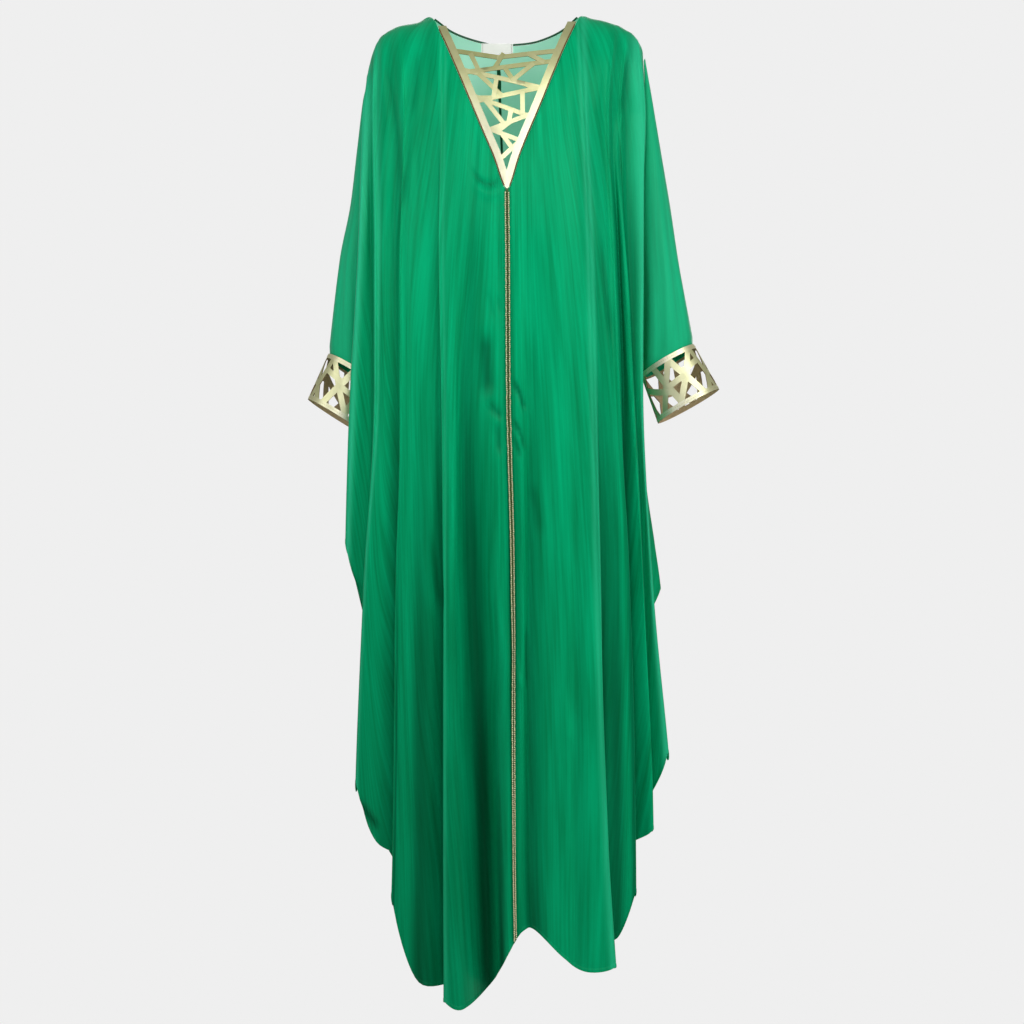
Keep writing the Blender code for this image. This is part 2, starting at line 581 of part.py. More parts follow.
def add_neck_insert():
    """V bands and the cutwork between them, cut in one piece of leather."""
    edge = neck_edge()
    edge_x, _, edge_drop = edge
    low = int(np.argmax(edge_drop))
    strips = []
    outer = {}
    for side, half in ((-1, slice(0, low + 1)), (1, slice(len(edge_x) - 1, low - 1, -1))):
        line = np.stack([edge_x[half], edge_drop[half]], axis=-1)
        step = unit(np.diff(line, axis=0))
        along = unit(np.concatenate([step[:1], step]) + np.concatenate([step, step[-1:]]))
        inward = np.stack([along[:, 1], -along[:, 0]], axis=-1) * -side
        outer[side] = line + inward * INSERT_GAP
        inner = outer[side] + inward * NECK_BAND
        outer[side][0] -= step[0] * 4
        inner[0] -= step[0] * 4
        outer[side][-1] += step[-1] * 6
        for a in range(len(line) - 1):
            strips.append([tuple(v) for v in (outer[side][a], outer[side][a + 1], inner[a + 1], inner[a])])

    def edge_at(side, drop):
        return np.interp(drop, outer[side][:, 1], outer[side][:, 0])

    def band_at(side, drop):
        return np.array([edge_at(side, drop) - side * NECK_BAND * 0.6, drop])

    def inside(middle):
        x, drop = middle
        return drop > INSERT_START and edge_at(-1, drop) < x < edge_at(1, drop)

    centre_top = np.array([-12.0, INSERT_TOP + INSERT_SAG])
    strips.append(strip(band_at(-1, INSERT_TOP), centre_top, INSERT_BAR))
    strips.append(strip(centre_top - (3, 0), band_at(1, INSERT_TOP), INSERT_BAR))
    rungs = [(band_at(-1, INSERT_TOP + INSERT_SAG * 0.4), band_at(1, INSERT_TOP + INSERT_SAG * 0.4))]
    for i in range(INSERT_RUNGS):
        middle = INSERT_TOP + 24 + INSERT_PITCH * i
        tilt = (10 + 9 * uneven(i, 0.618)) * (1 if i % 2 else -1)
        left = band_at(-1, middle - tilt)
        right = band_at(1, middle + tilt * 0.8)
        strips.append(strip(left, right, INSERT_BAR))
        rungs.append((left, right))
    for i in range(len(rungs) - 1):
        count = 3 if i < 3 else 2 if i < 5 else 1
        for k in range(count):
            share = (k + 0.55 + 0.35 * uneven(i + 2 * k, 0.754)) / (count + 0.6)
            lean = 0.2 * (uneven(i + k, 0.43) - 0.5) + 0.12 * (-1) ** (i + k)
            upper = rungs[i][0] * (1 - share) + rungs[i][1] * share
            share = min(max(share + lean, 0.1), 0.9)
            lower = rungs[i + 1][0] * (1 - share) + rungs[i + 1][1] * share
            strips.append(strip(upper, lower, INSERT_BAR))
    levels = [INSERT_START] + [float(d) for d in edge_drop[:low + 1] if d > INSERT_START + 3]
    lines = [((-140, d), (140, d)) for d in levels]
    for line in outer.values():
        lines += [(tuple(a), tuple(b)) for a, b in zip(line[:-1], line[1:])]
    flat, faces = cut_sheet(strips, lines, inside)

    def place(x, drop):
        return to_points(x, -insert_out(edge, x, drop), drop)

    points = place(flat[:, 0], flat[:, 1])
    right = place(flat[:, 0] + 1, flat[:, 1]) - place(flat[:, 0] - 1, flat[:, 1])
    down = place(flat[:, 0], flat[:, 1] + 1) - place(flat[:, 0], flat[:, 1] - 1)
    normals = unit(np.cross(down, right))
    faces = [face[::-1] for face in faces]
    return add_wall("neck_insert", points, normals, faces, LEATHER, LEATHER_WALL)


def cuff_point(sleeve, mouth, around, part):
    """Cuff surface: around in turns from the inner point past the front, part downward."""
    wrist = sleeve[-1]
    angle = (2 * around - 1) * math.pi
    swing = 0.5 + 0.5 * np.cos(angle)
    start = [wrist[0], wrist[1] + CUFF_GAP, wrist[2], wrist[3] + CUFF_GAP, wrist[4], wrist[6], 0.0]
    end = [mouth[0], mouth[1], mouth[2], mouth[3], mouth[4], wrist[6] - 2, mouth[5]]
    in_x, in_d, out_x, out_d, half, shift, lean = (a + (b - a) * part for a, b in zip(start, end))
    y = shift + half * np.sin(angle)
    return in_x + (out_x - in_x) * swing, y, in_d + (out_d - in_d) * swing + lean * y


def cuff_strips(turn):
    """Borders and uneven straight bars of one flat cuff, one turn long."""
    strips = [strip((-9, CUFF_BORDER / 2), (turn + 9, CUFF_BORDER / 2), CUFF_BORDER)]
    foot = CUFF_HEIGHT - CUFF_BORDER / 2
    strips.append(strip((-9, foot), (turn + 9, foot), CUFF_BORDER))
    top = CUFF_BORDER / 2
    long_bars = []
    for i in range(CUFF_LONG_BARS):
        start = turn * (i + 0.5 * uneven(i, 0.618)) / CUFF_LONG_BARS
        long_bars.append(((start, top), (start + 14 + 20 * uneven(i, 0.37), foot)))
    bars = list(long_bars)
    for i in range(CUFF_CROSS_BARS):
        start = turn * (i + 0.4 + 0.4 * uneven(i, 0.754)) / CUFF_CROSS_BARS
        bars.append(((start, top), (start - 26 - 20 * uneven(i, 0.43), foot)))
    for i in range(CUFF_LONG_BARS - 1):
        first, second = np.array(long_bars[i]), np.array(long_bars[i + 1])
        share = 0.3 + 0.4 * uneven(i, 0.618)
        other = 0.25 + 0.5 * uneven(i + 3, 0.618)
        bars.append((tuple(first[0] + (first[1] - first[0]) * share),
                     tuple(second[0] + (second[1] - second[0]) * other)))
    for start, end in bars:
        for wrap in (-turn, 0, turn):
            a = (start[0] + wrap, start[1])
            b = (end[0] + wrap, end[1])
            if max(a[0], b[0]) > -4 and min(a[0], b[0]) < turn + 4:
                strips.append(strip(a, b, CUFF_BAR))
    return strips


def add_cuff(name, sleeve, mouth, half):
    """Front (0) or back (1) half of a cutwork cuff, bent round the wrist."""
    turn = CUFF_TURN
    low = turn * half / 2 + SEAM_GAP / 2
    high = turn * (half + 1) / 2 - SEAM_GAP / 2
    bends = np.linspace(low, high, CUFF_BENDS + 1)
    lines = [((s, -5), (s, CUFF_HEIGHT + 5)) for s in bends]
    flat, faces = cut_sheet(cuff_strips(turn), lines, lambda middle: low < middle[0] < high)

    def place(along, part):
        return to_points(*cuff_point(sleeve, mouth, along / turn, part / CUFF_HEIGHT))

    points = place(flat[:, 0], flat[:, 1])
    forward = place(flat[:, 0] + 1, flat[:, 1]) - place(flat[:, 0] - 1, flat[:, 1])
    down = place(flat[:, 0], flat[:, 1] + 1) - place(flat[:, 0], flat[:, 1] - 1)
    on_right = sleeve[0][0] > 0
    normals = unit(np.cross(forward, down)) * (1 if on_right else -1)
    if not on_right:
        faces = [face[::-1] for face in faces]
    return add_wall(name, points, normals, faces, LEATHER, LEATHER_WALL)


def add_braid():
    """The beaded braid over the centre front seam, made from the points of both halves."""
    points, _ = front_grid()
    middle = FRONT_CENTRE * COLUMNS_PER_FOLD
    centre = points[middle].copy()
    left = centre + unit(points[middle - 1] - centre) * BRAID_WIDTH / 2 * MM
    right = centre + unit(points[middle + 1] - centre) * BRAID_WIDTH / 2 * MM
    sheet = np.stack([left, centre, right])
    sheet[:, 0] += (sheet[:, 1] - sheet[:, 0]) * 0.25
    facing = grid_normals(sheet, 1)
    down = np.gradient(sheet[1], axis=0)
    side_left = unit(np.cross(down, centre - left))
    side_right = unit(np.cross(down, right - centre))
    facing[0], facing[2] = side_left, side_right
    mitre = np.maximum(np.sum(facing[1] * side_left, axis=-1, keepdims=True), 0.5)
    away = (SILK_WALL + BRAID_WALL) / 2 + BRAID_LIFT
    sheet = sheet + facing * away * MM
    sheet[1] += facing[1] * away * MM * (1 / mitre - 1)
    chord = np.sum(((sheet[0] + sheet[2]) / 2 - sheet[1]) * facing[1], axis=-1, keepdims=True)
    sheet[1] += facing[1] * np.maximum(chord, 0)
    facing[0] = facing[2] = facing[1]
    faces = grid_faces(3, sheet.shape[1], flip=False)
    return add_wall("front_braid", sheet, facing, faces, BEADS, BRAID_WALL)


def add_cord(name, path, radius, finish):
    """A closed round cord along the path."""
    along = unit(np.gradient(path, axis=0))
    side = unit(np.cross(along, (0.0, 1.0, 0.0)))
    up = np.cross(side, along)
    turns = np.arange(CORD_SIDES) * 2 * math.pi / CORD_SIDES
    ring = side[:, None] * np.cos(turns)[:, None] + up[:, None] * np.sin(turns)[:, None]
    points = path[:, None] + ring * radius * MM
    faces = []
    last = (len(path) - 1) * CORD_SIDES
    for i in range(len(path) - 1):
        for k in range(CORD_SIDES):
            a, b = i * CORD_SIDES + k, i * CORD_SIDES + (k + 1) % CORD_SIDES
            faces += triangles((a, a + CORD_SIDES, b + CORD_SIDES, b))
    for k in range(1, CORD_SIDES - 1):
        faces.append((0, k, k + 1))
        faces.append((last, last + k + 1, last + k))
    mesh = bpy.data.meshes.new(name)
    mesh.from_pydata(points.reshape(-1, 3).tolist(), [], faces)
    mesh.materials.append(finish)
    piece = bpy.data.objects.new(name, mesh)
    garment.objects.link(piece)
    return piece


def add_neck_binding():
    """Rolled binding that sits on the back neckline."""
    first = BACK_NAMES.index("left_edge_4") + 1
    last = BACK_NAMES.index("right_edge_4")
    place = np.linspace(first, last, (last - first) * COLUMNS_PER_FOLD + 1)
    drop = column_values(BACK[0], 2, place)
    x, y = panel_point(BACK, place, drop)
    lift = BINDING_RADIUS + LAID_GAP + SILK_WALL / 2
    return add_cord("back_neck_binding", to_points(x, y, drop - lift), BINDING_RADIUS, BINDING)


def add_slit_binding():
    """Flat ring of binding round the slit, laid on the inner face of the back."""
    points, normals, slit, width = back_grid()
    middle = BACK_CENTRE * COLUMNS_PER_FOLD
    rows = np.arange(slit[0] - 1, slit[-1] + 2)
    centre = points[middle, rows]
    away = (SILK_WALL + LABEL_WALL) / 2 + LAID_GAP
    inner, outer = [], []
    for sign in (-1, 1):
        apart = (CENTRE_GAP / 2 + width[rows])[:, None] * MM
        edge = centre + unit(points[middle + sign, rows] - centre) * apart
        beside = edge + unit(points[middle + sign, rows] - edge) * SLIT_BINDING_WIDTH * MM
        beside[0] = centre[0] + unit(points[middle, rows[0] - 1] - centre[0]) * SLIT_BINDING_WIDTH * MM
        beside[-1] = centre[-1] + unit(points[middle, rows[-1] + 1] - centre[-1]) * SLIT_BINDING_WIDTH * MM
        step = slice(None) if sign < 0 else slice(-2, 0, -1)
        inward = -normals[middle, rows] * away * MM
        inner.append((edge + inward)[step])
        outer.append((beside + inward)[step])
    rings = np.stack([np.concatenate(inner), np.concatenate(outer)])
    facing = np.concatenate([-normals[middle, rows], -normals[middle, rows][-2:0:-1]])
    count = rings.shape[1]
    faces = []
    for i in range(count):
        after = (i + 1) % count
        faces += triangles((count + i, count + after, after, i))
    return add_wall("slit_binding", rings, np.stack([facing, facing]), faces, BINDING, LABEL_WALL)


def add_label():
    """Bare ribbon label on the inner face of the back, under the neckline."""
    across = np.linspace(-0.5, 0.5, 7) * LABEL_SIZE[0] + LABEL_PLACE[0]
    down = np.linspace(-0.5, 0.5, 3) * LABEL_SIZE[1] + LABEL_PLACE[1]
    places = np.linspace(BACK_CENTRE - 2, BACK_CENTRE + 2, 81)
    columns = []
    for x in across:
        line = []
        for drop in down:
            xs, ys = panel_point(BACK, places, np.full_like(places, drop))
            line.append(float(np.interp(x, xs, ys)))
        inner = np.array(line) - SILK_WALL / 2 - LAID_GAP - LABEL_WALL
        columns.append(to_points(np.full_like(down, x), inner, down))
    sheet = np.array(columns)
    faces = grid_faces(len(across), len(down), flip=False)
    return add_wall("neck_label", sheet, grid_normals(sheet, 1), faces, RIBBON, LABEL_WALL)


def main():
    add_fronts()
    add_backs()
    for side, sleeve, mouth in (("left", LEFT_SLEEVE, LEFT_CUFF_MOUTH),
                                ("right", RIGHT_SLEEVE, RIGHT_CUFF_MOUTH)):
        add_sleeve("sleeve_" + side, sleeve)
        add_cuff("cuff_%s_front" % side, sleeve, mouth, 0)
        add_cuff("cuff_%s_back" % side, sleeve, mouth, 1)
    add_neck_insert()
    add_braid()
    add_neck_binding()
    add_slit_binding()
    add_label()


main()
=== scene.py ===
import math
import bpy
import numpy as np
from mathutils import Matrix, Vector
from mathutils.geometry import delaunay_2d_cdt


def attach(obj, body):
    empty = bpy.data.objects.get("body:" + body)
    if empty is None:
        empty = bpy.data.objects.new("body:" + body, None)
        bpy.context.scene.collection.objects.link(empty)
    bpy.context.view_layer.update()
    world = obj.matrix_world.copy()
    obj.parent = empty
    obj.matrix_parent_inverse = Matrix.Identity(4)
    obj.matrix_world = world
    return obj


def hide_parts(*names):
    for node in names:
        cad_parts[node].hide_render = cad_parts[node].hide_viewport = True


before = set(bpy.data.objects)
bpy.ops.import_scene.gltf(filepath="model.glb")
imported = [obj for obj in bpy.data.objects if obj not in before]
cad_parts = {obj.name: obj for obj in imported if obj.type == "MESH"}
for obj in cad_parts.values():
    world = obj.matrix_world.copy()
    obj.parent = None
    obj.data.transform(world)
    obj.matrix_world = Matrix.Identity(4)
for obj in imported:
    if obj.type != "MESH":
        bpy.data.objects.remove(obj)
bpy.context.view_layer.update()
print("stage: frame loaded")

mm = 0.001

# The kaftan faces -Y. In every table "across" is X, "drop" is the distance below the
# shoulders and "out" the distance forward (front) or backward (back), all in millimetres.

# Camera and stage, first: a long lens from the front, level with the middle of the garment
camera = {"distance": 12.0, "height": -0.750, "aside": 0.0076, "shown": 1.5514, "sensor": 36.0}
stage = {"floor": -1.75, "radius": 3.0, "dome": 30.0, "paper": "#EFEFEF", "strength": 0.42}
softBoxes = (
    # name, place, size, watts, target height
    ("keySoftbox", (2.2, -2.6, 0.9), 1.4, 42, -0.5),
    ("fillSoftbox", (-2.6, -2.4, 0.6), 1.4, 22, -0.5),
    ("frontSoftbox", (0.0, -3.6, 1.2), 1.6, 34, -0.4),
    ("backSoftbox", (0.4, 3.4, 0.4), 2.0, 26, -0.6),
)

# fold, start across, start drop, crest drop, crest round, hem drop, roll of a folded edge
frontFolds = (
    ("leftSeam", -214, 104, 99, 12, 800, 0),
    ("leftUnder1", -212, 96, 94, 45, 796, 0),
    ("leftEdge1", -210, 82, 82, 55, 836, 12),
    ("leftUnder2", -205, 61, 61, 70, 958, 0),
    ("leftEdge2", -198, 41, 41, 90, 1186, 10),
    ("leftFace2", -189, 29, 29, 110, 1246, 0),
    ("leftUnder3", -177, 21, 21, 130, 1278, 0),
    ("leftEdge3", -162, 14, 14, 150, 1362, 10),
    ("leftFace3", -135, 9, 9, 190, 1455, 0),
    ("leftUnder4", -115, 1, 1, 215, 1456, 0),
    ("leftEdge4", -97, 35, 0, 235, 1490, 9),
    ("leftRidge5", -74, 89, 0, 250, 1494, 0),
    ("leftValley5", -47, 154, 0, 260, 1463, 0),
    ("leftRidge6", -22.5, 212, 0, 260, 1428, 0),
    ("centre", 0, 267, 0, 260, 1393, 0),
    ("rightRidge6", 20, 214, 0, 260, 1376, 0),
    ("rightValley5", 41, 162, 0, 260, 1376, 0),
    ("rightRidge5", 65, 103, 0, 250, 1416, 0),
    ("rightSoft4", 89.5, 44, 0, 235, 1438, 0),
    ("rightEdge4", 111, -2, -2, 215, 1442, 9),
    ("rightUnder4", 129, 3, 3, 195, 1392, 0),
    ("rightFace3", 145, 6, 6, 170, 1390, 0),
    ("rightEdge3", 161, 11, 11, 150, 1338, 7),
    ("rightUnder3", 170, 14, 14, 135, 1260, 0),
    ("rightRidge2", 180, 20, 20, 120, 1240, 8),
    ("rightValley2", 189, 25, 25, 105, 1196, 0),
    ("rightEdge2", 198, 35, 35, 85, 1142, 11),
    ("rightUnder2", 205, 51, 51, 65, 955, 0),
    ("rightSeam", 207, 64, 59, 12, 866, 0),
)

# fold, across at the stations, out at the stations
frontRuns = (
    ("leftUnder1", (-210, -201, -186, -214, -214, -214), (20, 48, 46, 30, 30, 30)),
    ("leftEdge1", (-217, -222, -231, -240, -240, -240), (25, 64, 66, 58, 58, 58)),
    ("leftUnder2", (-206, -205, -203, -204, -208, -208), (29, 64, 72, 72, 68, 68)),
    ("leftEdge2", (-199, -196, -196, -213, -226, -226), (36, 82, 97, 97, 92, 92)),
    ("leftFace2", (-184, -182, -182, -190, -196, -194), (48, 87, 104, 108, 106, 106)),
    ("leftUnder3", (-167, -167, -165, -158, -152, -150), (60, 90, 106, 108, 106, 106)),
    ("leftEdge3", (-153, -158, -157, -164, -168, -174), (72, 104, 119, 127, 130, 132)),
    ("leftFace3", (-129, -130, -130, -130, -130, -132), (86, 112, 124, 133, 138, 140)),
    ("leftUnder4", (-105, -104, -102, -90, -76, -74), (96, 117, 121, 120, 115, 116)),
    ("leftEdge4", (-96, -99, -96, -94, -93, -92), (99, 121, 129, 140, 150, 154)),
    ("leftRidge5", (-74, -78, -78, -78, -70, -66), (105, 126, 134, 142, 154, 160)),
    ("leftValley5", (-46, -50, -62, -52, -34, -29), (108, 128, 122, 105, 108, 116)),
    ("leftRidge6", (-22, -22, -20, -15, -10, -6), (110, 131, 136, 133, 148, 152)),
    ("centre", (0, 1, 2, 8, 10, 13), (111, 130, 130, 119, 143, 149)),
    ("rightRidge6", (20, 20, 21, 25, 24, 28), (110, 131, 134, 128, 144, 150)),
    ("rightValley5", (40, 39, 40, 38, 38, 44), (108, 127, 124, 116, 128, 136)),
    ("rightRidge5", (66, 74, 80, 80, 82, 84), (104, 126, 134, 140, 150, 154)),
    ("rightSoft4", (90, 104, 106, 110, 112, 116), (98, 119, 126, 134, 143, 147)),
    ("rightEdge4", (116, 124, 130, 137, 149, 161), (86, 110, 120, 130, 137, 140)),
    ("rightUnder4", (125, 136, 140, 141, 133, 138), (80, 106, 112, 116, 114, 114)),
    ("rightFace3", (137, 148, 154, 163, 165, 166), (72, 98, 110, 114, 112, 112)),
    ("rightEdge3", (150, 158, 166, 183, 191, 192), (64, 91, 105, 108, 106, 106)),
    ("rightUnder3", (158, 167, 174, 176, 178, 178), (54, 72, 85, 80, 71, 71)),
    ("rightRidge2", (170, 176, 186, 202, 217, 217), (47, 75, 90, 88, 84, 84)),
    ("rightValley2", (180, 184, 193, 205, 208, 208), (38, 61, 75, 68, 60, 60)),
    ("rightEdge2", (206, 204, 203, 217, 246, 246), (29, 62, 72, 70, 66, 66)),
    ("rightUnder2", (208, 193, 188, 200, 212, 212), (17, 46, 46, 34, 30, 30)),
)

# the same two tables for the back
backFolds = (
    ("leftSeam", -214, 104, 97, 24, 798, 0),
    ("leftUnder7", -211, 92, 92, 45, 800, 0),
    ("leftEdge7", -205, 60, 60, 70, 828, 12),
    ("leftUnder6", -193, 33, 33, 100, 1060, 0),
    ("leftEdge6", -180, 22, 22, 130, 1216, 10),
    ("leftFace5", -162, 14, 14, 150, 1300, 0),
    ("leftUnder4", -135, 9, 9, 180, 1352, 0),
    ("leftEdge4", -115, 1, 1, 200, 1392, 10),
    ("leftRidge3", -86, 21, 0, 205, 1424, 0),
    ("leftValley2", -62, 31, 0, 205, 1430, 0),
    ("leftRidge1", -33, 39, 0, 205, 1406, 0),
    ("centre", -14, 42, 0, 205, 1388, 0),
    ("rightRidge1", 33, 39, 0, 205, 1384, 0),
    ("rightValley2", 62, 31, 0, 205, 1402, 0),
    ("rightRidge3", 86, 19, 0, 205, 1422, 0),
    ("rightEdge4", 111, -2, -2, 200, 1384, 10),
    ("rightUnder4", 131, 4, 4, 180, 1340, 0),
    ("rightFace5", 158, 10, 10, 150, 1290, 0),
    ("rightEdge6", 178, 19, 19, 125, 1204, 10),
    ("rightUnder6", 192, 28, 28, 100, 1096, 0),
    ("rightEdge7", 200, 40, 40, 75, 1030, 11),
    ("rightUnder7", 205, 53, 53, 60, 905, 0),
    ("rightSeam", 207, 64, 59, 12, 864, 0),
)

backRuns = (
    ("leftUnder7", (-209, -202, -187, -214, -214, -214), (20, 44, 44, 28, 28, 28)),
    ("leftEdge7", (-209, -221, -231, -237, -237, -237), (27, 56, 60, 56, 56, 56)),
    ("leftUnder6", (-190, -191, -194, -190, -188, -188), (36, 60, 68, 72, 78, 78)),
    ("leftEdge6", (-178, -184, -190, -202, -208, -208), (46, 72, 86, 96, 104, 104)),
    ("leftFace5", (-152, -156, -160, -160, -162, -162), (58, 82, 94, 106, 118, 118)),
    ("leftUnder4", (-128, -131, -134, -124, -118, -118), (70, 90, 98, 102, 108, 110)),
    ("leftEdge4", (-114, -120, -126, -132, -138, -140), (77, 97, 109, 126, 142, 146)),
    ("leftRidge3", (-88, -92, -96, -98, -100, -100), (83, 104, 114, 130, 150, 154)),
    ("leftValley2", (-62, -64, -66, -64, -60, -58), (87, 105, 106, 104, 108, 112)),
    ("leftRidge1", (-34, -34, -35, -36, -34, -32), (90, 112, 118, 133, 152, 156)),
    ("centre", (-10, -2, 0, 2, 2, 2), (90, 110, 110, 108, 112, 114)),
    ("rightRidge1", (34, 34, 36, 40, 42, 42), (90, 112, 119, 134, 154, 158)),
    ("rightValley2", (62, 63, 64, 68, 72, 72), (87, 105, 106, 106, 112, 116)),
    ("rightRidge3", (88, 92, 95, 99, 102, 103), (83, 104, 113, 128, 146, 150)),
    ("rightEdge4", (116, 122, 128, 136, 146, 148), (77, 97, 108, 122, 136, 138)),
    ("rightUnder4", (130, 133, 136, 128, 124, 124), (69, 89, 96, 100, 106, 106)),
    ("rightFace5", (152, 156, 160, 162, 162, 162), (58, 81, 92, 102, 112, 112)),
    ("rightEdge6", (178, 184, 190, 202, 208, 208), (46, 70, 84, 94, 102, 102)),
    ("rightUnder6", (190, 188, 188, 190, 194, 194), (35, 58, 66, 66, 70, 70)),
    ("rightEdge7", (206, 203, 200, 214, 226, 226), (28, 58, 62, 62, 62, 62)),
    ("rightUnder7", (207, 195, 190, 198, 198, 198), (21, 42, 42, 30, 30, 30)),
)

# inner across, inner drop, outer across, outer drop, half depth, half mouth, shift
leftSleeve = (
    (-206.6, 104, -211, 100, 1.9, 1.5, 0),
    (-207.2, 130, -217, 122, 9, 7, 0),
    (-206, 205, -227, 202, 18, 12, 0),
    (-203, 285, -237, 285, 30, 17, 0),
    (-200, 371, -253, 365, 35, 19, -1),
    (-195, 467, -262, 441, 36, 15, -3),
    (-191, 559, -270, 511, 33, 0.9, -4),
)

rightSleeve = (
    (207, 67, 209, 63, 1.9, 1.5, 0),
    (207, 90, 213, 86, 5, 4, 0),
    (206.5, 122, 218.2, 115, 9, 7, 0),
    (203, 205, 233, 204, 18, 12, 0),
    (198.5, 285, 246.6, 285, 31, 17, 0),
    (195.4, 376, 260, 371, 38, 19, -1),
    (197, 474, 272.7, 442, 39, 15, -3),
    (203, 542, 283, 497, 36, 0.9, -4),
)

# the wrist edge is this much higher in front than behind, for each mm of depth
wristLean = 0.18

# drop, across of the side seams below the wrists
leftSideSeam = ((610, -184), (700, -197), (800, -213), (960, -216))
rightSideSeam = ((610, 204), (700, 210), (800, 224), (870, 233), (960, 236))

# drops of the stations: chest, bust, wrist, knee, calf, hem
stations = (150, 350, 560, 850, 1250, 1450)

cloth = {
    "wall": 0.5,  # a thin shell in the middle of the solid's wall
    "frontColumns": 9,  # between two fold lines
    "backColumns": 8,
    "rows": 190,
    "frontRowPower": 1.25,
    "backRowPower": 1.4,
    "hemRows": (7.0, 5.4, 5.0, 2.5, 0.9, 0.0),  # above the hem edge
    "hemWall": 1.2,
    "seamGap": 0.1,
    "centreGap": 0.8,
    "edgeSpace": 1.35,
    "edgeInset": 1.6,
    "rollSpread": 0.2,
    "rollDepth": 70,
    "rollFlat": 3,
}

# the hem of the front rises round the corner of each folded edge, by "other" where none is named
cornerLift = {"leftEdge4": 10, "rightEdge4": 14, "rightRidge2": 14, "rightEdge3": 18, "other": 34,
              "spread": 0.75}

# the left panel's ridge rolls over the centre seam here
centreTuck = {"drop": 965, "reach": 70, "across": 8, "out": 3}

# fold, fold, half width, height (a trough is negative), then points (across, drop) along it
frontCreases = (
    ("leftUnder2", "leftFace3", 6.0, -2.6, ((-190, 57), (-171, 147), (-163, 237), (-160, 300))),
    ("leftUnder3", "leftFace3", 4.5, -2.2, ((-153, 222), (-163, 300), (-172, 372))),
    ("leftEdge3", "leftEdge4", 7.0, -2.6, ((-133, 46), (-141, 100), (-147, 165))),
    ("leftEdge3", "leftEdge4", 5.0, 1.6, ((-141, 190), (-143, 250), (-144, 310))),
    ("leftEdge3", "leftEdge4", 5.0, 1.8, ((-128, 180), (-129, 260), (-131, 330))),
    ("leftUnder4", "leftRidge5", 5.0, 1.6, ((-112, 200), (-113, 260), (-114, 320))),
    ("leftRidge5", "centre", 3.2, -3.4, ((-58, 228), (-45, 249), (-29, 259), (-13, 252), (-3, 230))),
    ("leftRidge5", "centre", 4.5, 2.6, ((-54, 252), (-42, 266), (-27, 273), (-12, 266), (-4, 256))),
    ("leftValley5", "centre", 4.0, -1.4, ((-30, 415), (-24, 440), (-20, 465))),
    ("leftValley5", "centre", 4.0, -1.2, ((-14, 425), (-10, 455))),
    ("leftValley5", "centre", 13.0, -5.2, ((-36, 470), (-33, 530), (-29, 590))),
    ("leftValley5", "centre", 7.0, -4.5, ((-29, 584), (-17, 598), (-5, 611))),
    ("leftValley5", "centre", 6.0, -3.6, ((-16, 612), (-12, 640), (-9, 668))),
    ("centre", "rightRidge5", 4.0, -4.4, ((4, 546), (14, 564), (24, 584), (27, 604))),
    ("centre", "rightRidge5", 4.0, -4.0, ((5, 606), (14, 622), (24, 640), (27, 662))),
    ("centre", "rightRidge5", 4.0, -3.4, ((6, 630), (13, 650), (23, 672))),
    ("rightRidge6", "rightRidge5", 6.0, -1.4, ((36, 700), (44, 745), (52, 795))),
    ("rightRidge6", "rightValley5", 5.0, -3.0, ((27, 910), (31, 970), (33, 1030))),
    ("centre", "rightValley5", 4.0, 2.6, ((7, 942), (15, 985), (25, 1018))),
    ("centre", "rightValley5", 3.0, -2.0, ((9, 957), (14, 980), (19, 1002))),
    ("rightSoft4", "rightUnder4", 7.0, -3.0, ((140, 12), (141, 60), (138, 120))),
    ("rightEdge3", "rightEdge2", 6.0, -2.4, ((185, 50), (179, 109), (172, 158))),
    ("rightFace3", "rightValley2", 3.6, 2.2, ((174, 124), (165, 207), (171, 289), (181, 417), (188, 507))),
    ("rightFace3", "rightValley2", 3.6, -2.8, ((180, 124), (171, 207), (177, 289), (187, 417), (193, 507))),
    ("rightUnder4", "rightEdge3", 5.0, -2.6, ((141, 327), (150, 420), (159, 507))),
    ("rightUnder4", "rightEdge3", 4.0, -2.2, ((157, 327), (166, 417), (171, 507))),
    ("leftUnder1", "leftUnder2", 5.0, -3.0, ((-240, 836), (-228, 856), (-214, 876))),
    ("leftUnder2", "leftUnder3", 6.0, -4.0, ((-226, 1180), (-208, 1206), (-188, 1230))),
    ("leftFace3", "leftEdge4", 6.0, 2.2, ((-134, 770), (-122, 850), (-110, 920))),
    ("leftFace3", "leftEdge4", 6.0, -2.0, ((-118, 760), (-106, 840), (-96, 905))),
    ("rightRidge5", "rightSoft4", 8.0, -3.0, ((66, 1018), (78, 1060), (86, 1120))),
    ("rightRidge5", "rightSoft4", 7.0, 3.0, ((80, 1010), (90, 1055), (96, 1100))),
    ("rightRidge5", "rightSoft4", 6.0, -2.4, ((70, 1130), (84, 1170), (88, 1220))),
)
